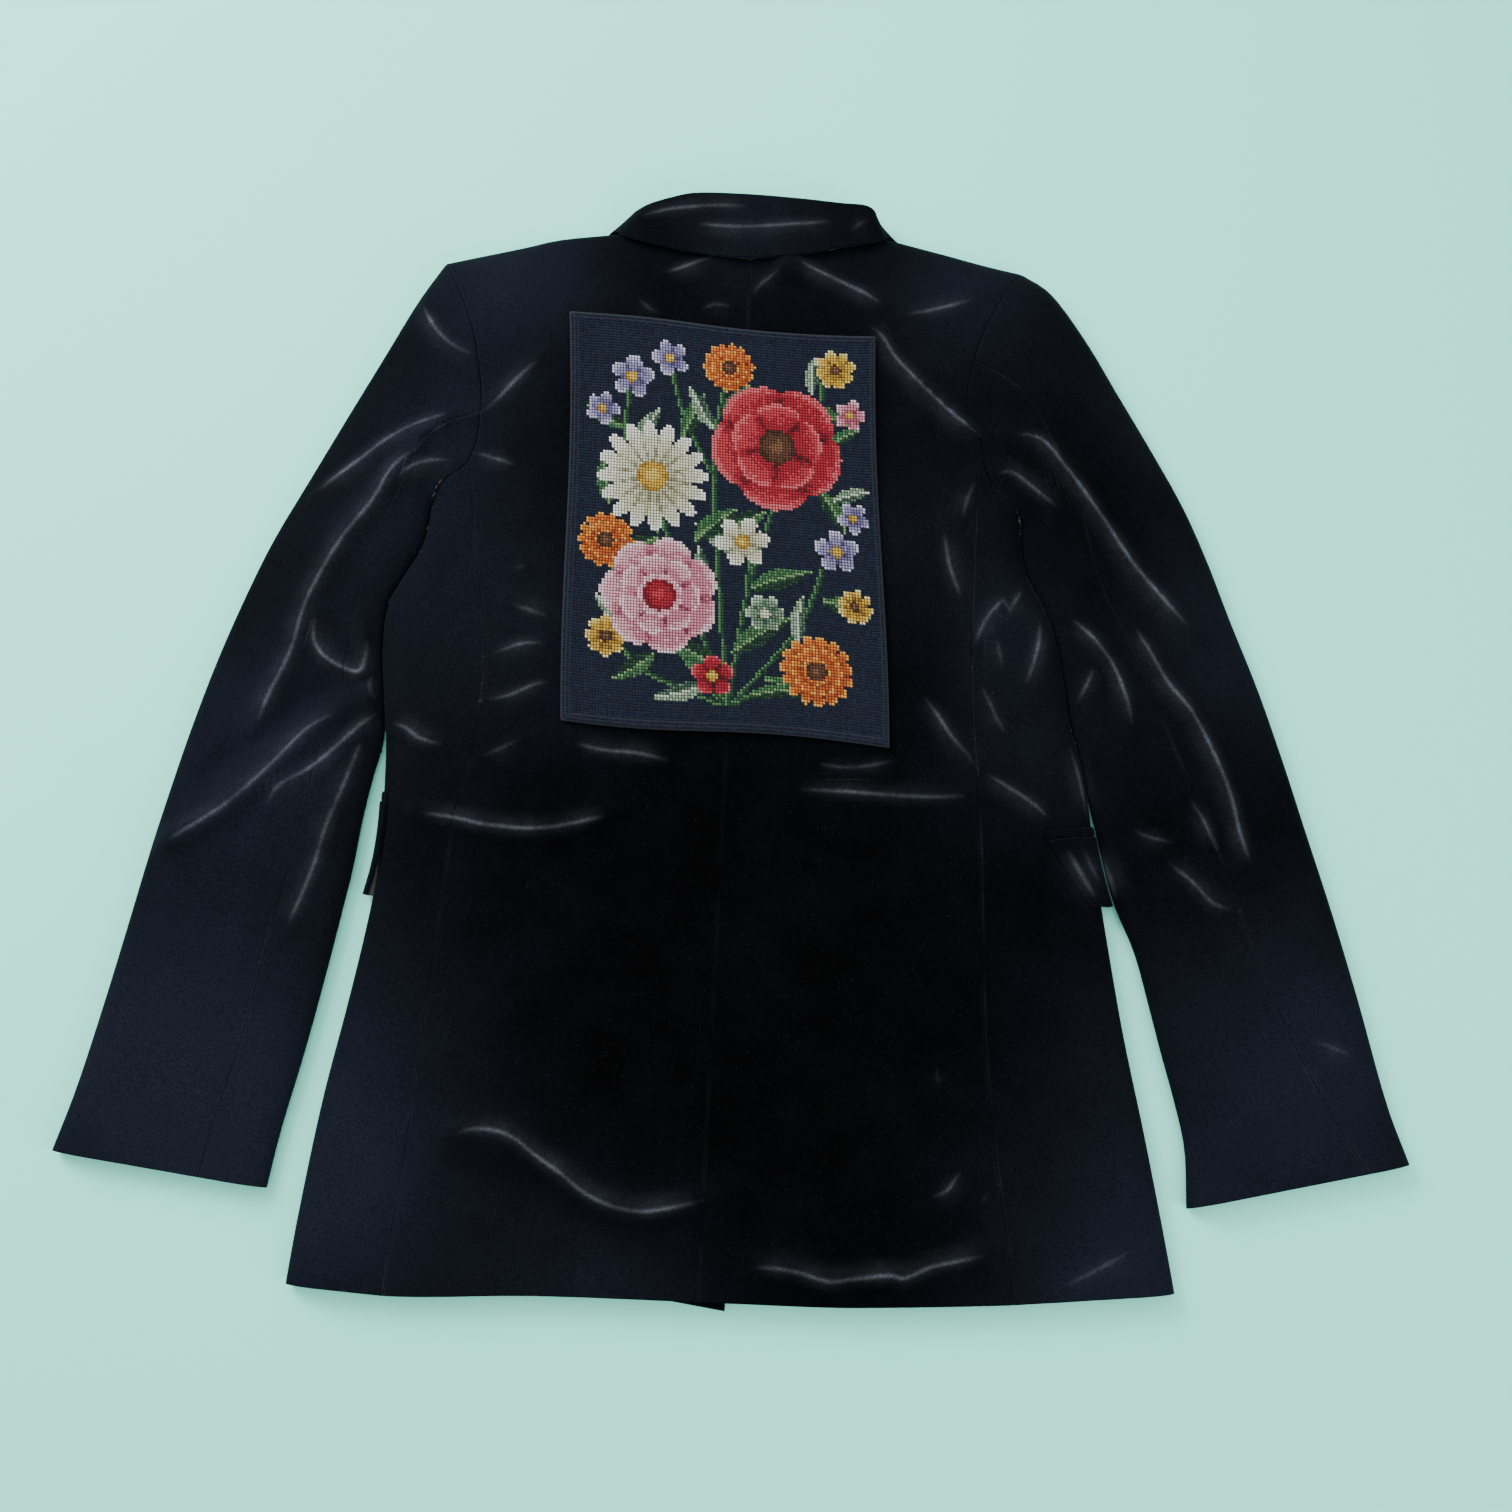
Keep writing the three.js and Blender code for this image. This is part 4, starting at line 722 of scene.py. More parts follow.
def shell(name, points, turn, seams="", lift=0.0, thickness=CLOTH, lies_on="floor", cloth=None,
          upright=False):
    """Closed cloth wall. seams names the sewn edges among left, right, bottom and top of the grid."""
    left, right_edge = along_rows(points, 1)
    bottom, top = along_rows(points, 0)
    edges = {"left": left, "right": right_edge, "bottom": bottom, "top": top}
    dip = np.zeros(points.shape[:2])
    for seam in seams.split():
        dip = np.maximum(dip, 1 - quarter_round(edges[seam] / SEAM_REACH))
    normals = face_normals(points, turn)
    outer = points + normals * (lift - SEAM_DIP * dip)[..., None]
    inner = points + normals * (lift - thickness - SEAM_DIP * dip)[..., None]
    rows, columns = points.shape[:2]
    total = rows * columns
    face = grid_faces(rows, columns)
    back = grid_faces(rows, columns, total)[:, ::-1]
    ring = np.concatenate([
        np.arange(columns), np.arange(1, rows) * columns + columns - 1,
        (rows - 1) * columns + np.arange(columns - 2, -1, -1), np.arange(rows - 2, 0, -1) * columns,
    ])
    following = np.roll(ring, -1)
    rim = np.stack([following, ring, ring + total, following + total], axis=1)
    faces = np.concatenate([face, back, rim])
    if turn < 0:
        faces = faces[:, ::-1]
    indices = np.zeros(len(faces), dtype=np.int32)
    indices[len(face) : len(face) + len(back)] = 1
    vertices = np.concatenate([outer.reshape(-1, 3), inner.reshape(-1, 3)])
    piece = add_mesh(name, vertices, faces, cloth or [velvet, lining], indices)
    if not cloth or cloth[0] is velvet:
        add_painted_sheen(piece, points, normals, dip)
    width, area = (left + right_edge).max() * MM, cloth_area(points)
    length = (np.ptp(points[..., 1]) + ROLL_LENGTH if upright else (bottom + top).max()) * MM
    CUTS[name] = (piece, float(width), float(length), float(area), lies_on, [])
    print(f"{name}: {len(faces)} faces, cut {width:.3f} x {length:.3f} m, {area:.4f} m2")
    return piece


# %% [markdown]
# The two halves of the back run from the centre seam to the side-back seams and armholes, and up to
# the shoulders and the neck. The fronts lie under them on the table. Both are made by one function:
# a row crosses the panel from its centre edge to its outer edge, and the rows climb from the hem up
# the side seam, the armhole and the shoulder.

# %% Backs and fronts
SEAM_GAP = 0.08
SIDE_ROWS, JUNCTION, SHOULDER_ROWS, TO_INNER = 16.0, 11.0, 4.0, 16.0
TIP_ROW = SIDE_ROWS + JUNCTION
NECK_ROW = TIP_ROW + SHOULDER_ROWS
ELBOW_STATION, FOREARM_STATION = 9.0, 8.0
HEM_ROWS = 3.0
NEAR_HEM = np.array(10.0)


def mix(a, b, t):
    return a + (b - a) * np.asarray(t)[..., None]


def share_at(station, seam_station, seam_share):
    first = seam_share * (1 - np.cos(np.pi / 2 * np.clip(station / seam_station, 0, 1)))
    left = 1 - (station - seam_station) / (TO_INNER - seam_station)
    return np.where(station <= seam_station, first, seam_share + (1 - seam_share) * (1 - left * left))


def armhole_point(side, layer, station):
    elbow, forearm = SLEEVE_SECTIONS[side][0][4:6]
    share = share_at(station, *((ELBOW_STATION, elbow) if layer == "top" else (FOREARM_STATION, forearm)))
    way = walk(ARMHOLE[side], share + 0.01) - walk(ARMHOLE[side], share - 0.01)
    way /= np.linalg.norm(way, axis=-1, keepdims=True)
    return walk(ARMHOLE[side], share) + np.stack([-way[..., 1], way[..., 0]], -1) * -SIDES[side] * SEAM_GAP


def seam_x(side, layer, y):
    if layer == "top":
        return read_table(SIDE_BACK_SEAM[:, 0], SIDE_BACK_SEAM[:, 1 if side == "left" else 2], y)
    return side_x(side, y) - SIDES[side] * SIDE_FRONT_INSET


def seam_point(side, layer, t, off):
    """Seam between centre and side panel, t from hem to armhole, moved off outwards."""
    t = np.asarray(t, float)
    end = armhole_point(side, layer, np.array(JUNCTION))
    start_x = seam_x(side, layer, NEAR_HEM)
    y = hem_y(start_x) + (end[1] - hem_y(start_x)) * t
    x = seam_x(side, layer, y) + (end[0] - seam_x(side, layer, end[1])) * t**4
    return np.stack([x + SIDES[side] * off, y], -1)


def outer_point(side, layer, row):
    on_seam = seam_point(side, layer, row / SIDE_ROWS, -SEAM_GAP)
    on_armhole = armhole_point(side, layer, np.clip(TIP_ROW - row, 0, JUNCTION))
    on_shoulder = walk(SHOULDER[side], 1 - np.clip(row - TIP_ROW, 0, SHOULDER_ROWS) / SHOULDER_ROWS)
    above = np.where((row <= TIP_ROW)[..., None], on_armhole, on_shoulder)
    return np.where((row <= SIDE_ROWS)[..., None], on_seam, above)


def corner_drop(side, layer):
    return 0.0 if layer == "top" else FRONT_CORNER_DROP[side]


def centre_point(side, layer, row):
    seam_top, shoulder_tip, neck = CENTRE_ROWS[layer]
    edge = np.array(FRONT_EDGES[side], float)
    hem_x = SIDES[side] * SEAM_GAP if layer == "top" else edge[0, 1]
    hem = float(hem_y(hem_x)) - corner_drop(side, layer)
    y = np.interp(row, [0, SIDE_ROWS, TIP_ROW, NECK_ROW], [hem, seam_top, shoulder_tip, neck])
    x = hem_x + 0 * y if layer == "top" else np.interp(y, edge[:, 0], edge[:, 1])
    return np.stack([x, y], -1)


def centre_panel(side, layer, columns, rows):
    u, row = np.meshgrid(columns, rows)
    inner, outer = centre_point(side, layer, row), outer_point(side, layer, row)
    point = mix(inner, outer, u)
    x, y = point[..., 0], point[..., 1]
    straight = mix(centre_point(side, layer, 0 * row), outer_point(side, layer, 0 * row), u)[..., 1]
    corner = corner_drop(side, layer) * np.maximum(0, 1 - u / FRONT_CORNER_SHARE)
    y = y + (hem_y(x) - corner - straight) * np.clip(1 - row / HEM_ROWS, 0, 1)
    if layer == "top":
        y = y - NECK_BOW * np.sin(np.pi * u) * ease((row - TIP_ROW + 2) / (SHOULDER_ROWS + 2))
        return np.stack([x, y, body_top(side, x, y)], -1)
    x = x + SIDES[side] * FRONT_NECK_BOW * np.sin(np.pi * u) * ease((row - TIP_ROW) / SHOULDER_ROWS)
    edge = np.array(FRONT_EDGES[side], float)
    from_edge = np.abs(x - np.interp(y, edge[:, 0], edge[:, 1]))
    across = 1 - ease((from_edge - LAP_WIDTH) / LAP_SLOPE)
    lapped = (FRONT_LAP if side == "left" else 0.0) * across * (1 - ease((y - LAP_END) / LAP_FADE))
    return np.stack([x, y, body_under(side, x, y) + lapped], -1)


RIM_ROWS = np.array([0, 0.02, 0.05, 0.1])


def panel_rows(seam_step, armhole_step, shoulder_step):
    return np.concatenate([
        RIM_ROWS, np.arange(0.2, SIDE_ROWS, seam_step), np.arange(SIDE_ROWS, TIP_ROW, armhole_step),
        np.arange(TIP_ROW, NECK_ROW - 0.1, shoulder_step), [NECK_ROW - 0.06, NECK_ROW - 0.02, NECK_ROW],
    ])


for side, sign in SIDES.items():
    points = centre_panel(side, "top", crowded(0, 1, 62), panel_rows(0.1, 0.3, 0.11))
    piece = shell(f"velvet_back_{side}", points, sign, "left right top", upright=True)
    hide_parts(f"back_{side}")
    points = centre_panel(side, "under", crowded(0, 1, 44), panel_rows(0.16, 0.45, 0.2))
    piece = shell(f"velvet_front_{side}", points, -sign, "right top", cloth=[velvet, velvet], upright=True)
    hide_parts(f"front_{side}")

# %% [markdown]
# Between back and front a side panel goes round the body's side fold. Its columns count outwards from
# the fold, and stand closest together there, where the cloth turns over.

# %% Side panels
SIDE_STATIONS = TO_INNER - JUNCTION


def side_panel(side, columns, rows):
    place, row = np.meshgrid(columns, rows)
    share = (place / SIDE_STATIONS) ** 2
    station = TO_INNER - np.abs(place)
    fold_x = side_x(side, NEAR_HEM)

    def straight(layer, t):
        end = armhole_point(side, layer, np.array(TO_INNER))
        fold_y = hem_y(fold_x) + (end[1] - hem_y(fold_x)) * t
        return mix(np.stack([side_x(side, fold_y), fold_y], -1), seam_point(side, layer, t, SEAM_GAP), share)

    def layer_points(layer):
        bow = armhole_point(side, layer, station) - straight(layer, np.ones_like(share))
        point = straight(layer, row / SIDE_ROWS) + bow * np.clip(row - SIDE_ROWS + 1, 0, 1)[..., None]
        x, y = point[..., 0], point[..., 1]
        height = body_top if layer == "top" else body_under
        return np.stack([x, y, height(side, x, y)], -1)

    return np.where((place < 0)[..., None], layer_points("top"), layer_points("under"))


for side, sign in SIDES.items():
    rows = np.concatenate([RIM_ROWS, np.arange(0.2, SIDE_ROWS - 0.1, 0.1), [SIDE_ROWS - 0.05, SIDE_ROWS]])
    points = side_panel(side, crowded(-SIDE_STATIONS, SIDE_STATIONS, 44), rows)
    piece = shell(f"velvet_side_{side}", points, sign, "left right top")
    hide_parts(f"side_{side}")

# %% [markdown]
# A sleeve is two pieces with a seam over the elbow and one over the forearm. Both are one function
# round the flattened tube: from the forearm seam round the outer fold to the elbow seam, and on
# round the inner fold. Rings run from the armhole down to the cuff.

# %% Sleeves
LIFT_END, CAP_END, FIRST_RING = 4.0, 1.0, 0.002


def cross2(a, b):
    return a[..., 0] * b[..., 1] - a[..., 1] * b[..., 0]


def sleeve_point(side, ring, share, layer):
    outer, inner, _, _ = sleeve_section(side, ring)
    bend = np.clip(1 - ring / CAP_END, 0, 1) ** 2
    tip, bottom = walk(ARMHOLE[side], np.array([0.0, 1.0]))
    chord, offset = bottom - tip, walk(ARMHOLE[side], share) - tip
    along, across = offset @ chord / (chord @ chord), cross2(chord, offset) / (chord @ chord)
    way = inner - outer
    point = outer + way * (share + (along - share) * bend)[..., None]
    point = point + np.stack([-way[..., 1], way[..., 0]], -1) * (across * bend)[..., None]
    x, y = point[..., 0], point[..., 1]
    if layer == "top":
        thin = (FULL_HEIGHT - CUFF_HEIGHT) * ease((ring - RINGS + CUFF_RINGS) / CUFF_RINGS)
        return np.stack([x, y, top_height(side, x, y, "sleeve", thin)], -1)
    lift = body_lift(y) * (1 - ease(ring / LIFT_END))
    return np.stack([x, y, under_height(side, x, y, "sleeve", lift)], -1)


def sleeve_points(side, columns, rings, seam_shift):
    place, ring = np.meshgrid(columns, rings)
    on_top = (place >= 0) & (place <= TO_INNER)
    station = np.where(place > TO_INNER, 2 * TO_INNER - place, np.abs(place))
    outer, inner, elbow, forearm = sleeve_section(side, ring)
    shift = seam_shift / np.linalg.norm(outer - inner, axis=-1)
    over = sleeve_point(side, ring, share_at(station, ELBOW_STATION, elbow + shift), "top")
    below = sleeve_point(side, ring, share_at(station, FOREARM_STATION, forearm + shift), "under")
    return np.where(on_top[..., None], over, below)


rings = np.concatenate([FIRST_RING + RIM_ROWS, np.arange(0.18, RINGS - 0.1, 0.07),
                        [RINGS - 0.06, RINGS - 0.02, RINGS]])
for side, sign in SIDES.items():
    upper = sleeve_points(side, crowded(-FOREARM_STATION, ELBOW_STATION, 72), rings, -SEAM_GAP)
    under = sleeve_points(side, crowded(ELBOW_STATION, 2 * TO_INNER - FOREARM_STATION, 68), rings, SEAM_GAP)
    for part, points in (("upper", upper), ("under", under)):
        piece = shell(f"velvet_{part}_sleeve_{side}", points, sign, "left right bottom")
        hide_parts(f"{part}_sleeve_{side}")

# %% [markdown]
# The hip pockets lie at the sides, so their flaps come round the side folds from the front. A welt
# of folded velvet finishes the slit above each flap.

# %% Pockets
POCKETS = {  # top, depth, rise, reach above (top, edge), reach below (top, edge), flare
    "left": (298.0, 60.0, 0.05, (4.0, 2.0), (126.0, 122.0), 4.5),
    "right": (291.0, 44.0, 0.15, (31.0, 9.0), (112.0, 126.0), 5.0),
}
FLAP_LIFT, FLAP_CLOTH, FLARE_REACH = 0.5, 2.0, 9.0
WELT_WIDTH, WELT_CLOTH = 6.0, 1.0


def hip_points(side, above, below, top_y, depth, flare, columns, rows):
    u, v = np.meshgrid(columns, rows)
    rise = POCKETS[side][2]
    start = -np.sqrt(above[0] + (above[1] - above[0]) * v)
    end = np.sqrt(below[0] + (below[1] - below[0]) * v)
    place = start + (end - start) * u
    far = place * np.abs(place)
    y = top_y + rise * (far + above[0]) - depth * v
    fold = side_x(side, y)
    x = fold - SIDES[side] * np.abs(far)
    z = np.where(place < 0, body_top(side, x, y), body_under(side, x, y))
    x = x + SIDES[side] * flare * v**1.5 * np.exp(-(((x - fold) / FLARE_REACH) ** 2))
    return np.stack([x, y, z], -1)


for side, sign in SIDES.items():
    top, depth, _, above, below, flare = POCKETS[side]
    points = hip_points(side, above, below, top, depth, flare, crowded(0, 1, 60), crowded(0, 1, 24))
    piece = shell(f"velvet_flap_{side}", points, -sign, "bottom", FLAP_LIFT + FLAP_CLOTH, FLAP_CLOTH)
    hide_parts(f"pocket_flap_{side}")
    level = [(span[0], span[0]) for span in (above, below)]
    points = hip_points(side, *level, top + 2 * SEAM_GAP + WELT_WIDTH, WELT_WIDTH, 0.0,
                        crowded(0, 1, 60), np.linspace(0, 1, 8))
    welt = shell(f"velvet_welt_{side}", points, -sign, "bottom top", FLAP_LIFT + WELT_CLOTH, WELT_CLOTH)
    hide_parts(f"pocket_welt_{side}")
    del CUTS[welt.name]
    CUTS[piece.name][-1].append(welt)

# %% [markdown]
# The lapels lie flat on the table under the fronts. Nothing of them shows from above, so each is a
# plain shell between its roll line and its free edge.

# %% Lapels
LAPELS = {  # roll line, free edge, belly
    "left": ([(-14, 492), (-61, 630)], [(-34, 498), (-112, 634)], 12.0),
    "right": ([(-24, 412), (61, 630)], [(-14, 408), (114, 634)], 26.0),
}
LAPEL_CLOTH = 2.0
for side, sign in SIDES.items():
    roll, edge, belly = LAPELS[side]
    u, v = np.meshgrid(crowded(0, 1, 16), crowded(0, 1, 30))
    on_roll, on_edge = (mix(np.array(line[0]), np.array(line[1]), v) for line in (roll, edge))
    flat = mix(on_roll, on_edge, u)
    points = np.dstack([flat[..., 0] + sign * belly * np.sin(np.pi * v) * u, flat[..., 1], 0 * u])
    piece = shell(f"velvet_lapel_{side}", points, -sign, "", 0.0, LAPEL_CLOTH)
    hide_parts(f"lapel_{side}")

# %% [markdown]
# The collar is one strip. Its section goes up the stand from the neck seam, round the roll and down
# the fall to the free edge. It stays folded round the neck and turns under at both ends.

# %% Collar
COLLAR_ROWS = np.array([  # neck seam x, y, z, roll x, y, z, free edge x, y, z, half fold
    (-84, 664, 3.8, -69, 660, 2.6, -114, 668, 1.2, 1.4),
    (-87, 683, 3.9, -76, 688, 2.8, -110, 689, 1.3, 1.4),
    (-88, 697, 4.4, -81, 707, 4, -101, 699, 2.2, 1.5),
    (-87.5, 704, 8.5, -79, 714, 9, -94, 702, 8, 2),
    (-80, 698.5, 14, -69, 718, 16, -86, 693.5, 17.8, 2.4),
    (-60, 691, 15.2, -55, 722, 19, -64, 687, 20.4, 2.7),
    (-33, 684.5, 15.2, -38, 725.5, 20, -37, 682, 20.6, 2.7),
    (0, 682, 15.2, -5, 726, 20, -4, 679.5, 20.6, 2.7),
    (33, 685, 15.2, 30, 724.5, 20, 29, 683, 20.6, 2.7),
    (62, 693.5, 15.2, 60, 722.5, 19.5, 61, 690, 20.4, 2.7),
    (82, 702, 14, 78, 723, 16, 85, 697, 17.8, 2.4),
    (88, 707, 8.5, 82, 718, 9, 95, 705, 8, 2),
    (89.5, 700, 4.4, 85, 710, 4, 104, 701, 2.2, 1.5),
    (89.5, 686, 3.9, 80, 691, 2.8, 114, 690, 1.3, 1.4),
    (86, 666, 3.8, 73, 662, 2.6, 118, 670, 1.2, 1.4),
])
COLLAR_FOLDS = [  # height, row of the table, its reach in rows, share across the fall, its reach
    (1.1, 7.6, 1.3, 0.55, 0.2), (-0.9, 6.9, 1.6, 0.3, 0.16), (0.9, 5.2, 0.9, 0.6, 0.22),
    (1.0, 9.6, 0.6, 0.45, 0.25), (-0.8, 9.0, 0.5, 0.7, 0.2), (0.7, 4.4, 0.5, 0.35, 0.2),
]
STAND_SHARE, ROLL_SHARE, COLLAR_CLOTH = 0.3, 0.62, 1.8


def collar_line(first, place):
    knots = np.arange(len(COLLAR_ROWS))
    return np.stack([read_table(knots, COLLAR_ROWS[:, first + k], place) for k in range(3)], -1)


def unit(vectors):
    return vectors / np.linalg.norm(vectors, axis=-1, keepdims=True)


def collar_points(columns, rows):
    u, place = np.meshgrid(columns, rows)
    seam, roll, edge = (collar_line(first, place) for first in (0, 3, 6))
    along = unit(collar_line(3, place + 0.05) - collar_line(3, place - 0.05))
    out = roll - (seam + edge) / 2
    out = unit(out - along * (out * along).sum(-1, keepdims=True))
    up = np.cross(along, out)
    radius = read_table(np.arange(len(COLLAR_ROWS)), COLLAR_ROWS[:, 9], place)[..., None]
    middle = roll - out * radius
    angle = (np.pi * ((u - STAND_SHARE) / (ROLL_SHARE - STAND_SHARE) - 0.5))[..., None]
    rolled = middle + out * radius * np.cos(angle) + up * radius * np.sin(angle)
    stand = mix(seam, middle - up * radius, np.clip(u / STAND_SHARE, 0, 1))
    across = np.clip((u - ROLL_SHARE) / (1 - ROLL_SHARE), 0, 1)
    fall = mix(middle + up * radius, edge, across)
    for height, row, row_reach, share, share_reach in COLLAR_FOLDS:
        soft = np.exp(-(((place - row) / row_reach) ** 2) - ((across - share) / share_reach) ** 2)
        fall = fall + up * (height * soft * ease(across / 0.2))[..., None]
    u = u[..., None]
    return np.where(u < STAND_SHARE, stand, np.where(u > ROLL_SHARE, fall, rolled))


collar_columns = np.concatenate([
    np.linspace(0, STAND_SHARE, 12), np.linspace(STAND_SHARE, ROLL_SHARE, 22)[1:],
    ROLL_SHARE + (1 - ROLL_SHARE) * np.concatenate([np.linspace(0.05, 0.95, 20), [0.975, 0.99, 1]]),
])
points = collar_points(collar_columns, crowded(0, len(COLLAR_ROWS) - 1, 190))
collar = shell("velvet_collar", points, 1, "left", COLLAR_CLOTH / 2, COLLAR_CLOTH, cloth=[velvet, velvet])
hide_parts("collar")

# %% [markdown]
# Needlepoint is wool worked over a stiff canvas, one stitch to each crossing of its threads. Each
# stitch is a small block of its own here, since they are nearly 2 mm across and the light catches
# every one. The canvas lies on the back's own form, and its edges are folded under, so they roll up.

# %% Canvas and stitches
STITCHES_WIDE, STITCHES_HIGH = 106, 143
CANVAS_TOP, CANVAS_CLOTH, STITCH_HIGH = 1.9, 1.2, 0.675
CANVAS_LIFT, EDGE_ROLL, ROLL_IN, ROLL_WIDTH = 0.5, 1.1, 3.2, 2.6


def canvas_points(u, v):
    top, bottom = (np.array(CANVAS_CORNERS[row], float) for row in ("top", "bottom"))
    flat = mix(mix(bottom[0], bottom[1], u), mix(top[0], top[1], u), v)
    x = flat[..., 0] + CANVAS_WAVER * np.sin(5 * v + 1) * (u - 0.5) * 2
    y = flat[..., 1] + CANVAS_WAVER * np.sin(6 * u + 0.5) * (v - 0.5) * 2
    z = np.where(x < 0, body_top("left", x, y), body_top("right", x, y))
    waves = 0.36 * np.sin(7 * u + 4 * v + 1) * np.sin(6 * v - 2 * u) + 0.2 * np.sin(15 * u - 9 * v)
    edge = np.minimum(np.minimum(u, 1 - u) * CANVAS_WIDE, np.minimum(v, 1 - v) * CANVAS_HIGH)
    rolled = EDGE_ROLL * np.exp(-(((edge - ROLL_IN) / ROLL_WIDTH) ** 2))
    return np.stack([x, y, z + CANVAS_LIFT + waves + rolled], -1)


def canvas_grid(columns, rows):
    return canvas_points(*np.meshgrid(columns, rows))


def canvas_material():
    material, tree = new_material("navy_tapestry_canvas")
    place = add_node(tree, "ShaderNodeTexCoord")
    shade = ramp(tree, (noise(tree, place, 900.0, 2.0), "Fac"), "#070a10", "#121826")
    ground = add_node(tree, "ShaderNodeBsdfPrincipled", Base_Color=(shade, "Color"), Roughness=0.95,
                      IOR=1.5)
    finish_material(tree, ground)
    return material


points = canvas_grid(crowded(0, 1, 70), crowded(0, 1, 92))
ground_canvas = canvas_material()
canvas_base = shell("needlepoint_canvas", points, 1, "left right bottom top", CANVAS_TOP, CANVAS_CLOTH,
                    "velvet_back_left velvet_back_right", [ground_canvas, ground_canvas])
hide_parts("needlepoint_panel")

# %% [markdown]
# The picture on the canvas is a plain bouquet in coloured wools on a navy ground. Each flower is a
# rule in polar coordinates: how far a petal reaches at each angle, and how light it is on the way
# out. Wool comes in a few shades of each colour, so a shade is picked by rounding. Later motifs cover
# earlier ones, as a worker would count them over the ground. Sizes are in mm from the canvas's
# lower left corner.

# %% Wools
WOOLS = {  # shades from dark to light
    "navy": ["#0c1526", "#101b30", "#152138"],
    "red": ["#4a0a14", "#7d1220", "#a81d2e", "#c43a45", "#d9656b"],
    "cream": ["#8d8a6c", "#b9b694", "#d8d6bd", "#ebeadb", "#f6f5ee"],
    "pink": ["#7a3348", "#a9566c", "#cd8192", "#e2a9b3", "#f0cdd2"],
    "rust": ["#5e2412", "#8f3a17", "#b9561f", "#d67a2c", "#e6a544"],
    "lavender": ["#4b4569", "#6d668f", "#918bb2", "#b5b0cf", "#d2cfe2"],
    "gold": ["#7a5a1c", "#a88128", "#cfa63c", "#e2c565", "#efdc98"],
    "green": ["#16301f", "#21472c", "#33623c", "#4d7d4c", "#789b66"],
    "sage": ["#34503f", "#527059", "#769176", "#9fb498", "#c3d0b8"],
    "brown": ["#2c1b12", "#44291a", "#5f3c26", "#7e5638", "#9d7650"],
}
STEMS = [  # from the bouquet's foot to each flower
    [(106, 18), (118, 90), (138, 158), (144, 196)], [(104, 18), (84, 80), (66, 130), (60, 160)],
    [(102, 18), (70, 58), (62, 84)], [(108, 18), (150, 70), (168, 112)],
    [(110, 18), (140, 36), (158, 44)], [(105, 18), (100, 110), (98, 190), (106, 240)],
    [(60, 130), (38, 176), (40, 226)], [(118, 90), (120, 118), (112, 136)],
    [(100, 18), (52, 38), (34, 60)], [(144, 190), (168, 226), (172, 246)],
    [(98, 170), (78, 210), (70, 240)],
]
LEAVES = [  # x, y of its foot, length, width, direction in degrees, wool
    (104, 40, 44, 15, 150, "green"), (108, 52, 46, 15, 34, "green"), (92, 84, 40, 13, 96, "sage"),
    (120, 96, 44, 14, 20, "green"), (116, 120, 36, 12, 150, "sage"), (132, 150, 34, 12, 205, "green"),
    (84, 126, 38, 14, 40, "green"), (60, 126, 36, 13, 200, "green"), (44, 186, 34, 12, 60, "sage"),
    (36, 200, 30, 11, 150, "green"), (76, 196, 38, 13, 64, "green"), (98, 204, 34, 11, 120, "sage"),
    (104, 216, 30, 10, 50, "green"), (158, 226, 34, 12, 340, "green"), (164, 236, 28, 10, 84, "sage"),
    (168, 168, 34, 12, 300, "green"), (176, 160, 28, 10, 20, "sage"), (166, 92, 34, 12, 344, "green"),
    (150, 62, 32, 11, 82, "sage"), (128, 36, 34, 12, 340, "green"), (60, 50, 34, 12, 216, "green"),
    (46, 64, 34, 12, 140, "sage"), (34, 92, 30, 11, 80, "green"), (28, 146, 34, 12, 100, "green"),
    (92, 30, 36, 12, 196, "sage"), (120, 24, 30, 10, 12, "green"), (176, 200, 24, 9, 30, "green"),
]
FLOWERS = [  # wool, x, y, radius, petals, how deep the petals are cut, turn in degrees, rows, heart
    ("lavender", 42, 236, 15, 5, 0.45, 10, 1, "gold"), ("lavender", 68, 252, 13, 5, 0.45, 40, 1, "gold"),
    ("lavender", 22, 212, 12, 5, 0.45, 70, 1, "gold"), ("lavender", 178, 126, 15, 5, 0.45, 20, 1, "gold"),
    ("lavender", 190, 150, 11, 5, 0.45, 55, 1, "gold"), ("rust", 108, 250, 18, 14, 0.2, 5, 3, "brown"),
    ("rust", 26, 122, 19, 14, 0.2, 0, 3, "brown"), ("rust", 162, 44, 24, 15, 0.2, 9, 3, "brown"),
    ("gold", 28, 58, 14, 8, 0.3, 0, 1, "brown"), ("gold", 180, 254, 14, 8, 0.3, 15, 1, "brown"),
    ("gold", 188, 90, 12, 8, 0.3, 30, 1, "brown"), ("cream", 116, 128, 18, 6, 0.4, 10, 1, "gold"),
    ("pink", 62, 88, 39, 7, 0.16, 25, 3, "red"), ("cream", 56, 168, 38, 16, 0.34, 4, 1, "gold"),
    ("red", 140, 196, 45, 5, 0.14, 50, 2, "brown"), ("pink", 190, 222, 11, 5, 0.4, 0, 1, "gold"),
    ("red", 96, 36, 14, 5, 0.3, 20, 1, "gold"), ("sage", 130, 80, 13, 6, 0.3, 0, 1, "cream"),
]
PALETTE = [shade for shades in WOOLS.values() for shade in shades]
FIRST_SHADE = {wool: sum(len(WOOLS[w]) for w in list(WOOLS)[:k]) for k, wool in enumerate(WOOLS)}


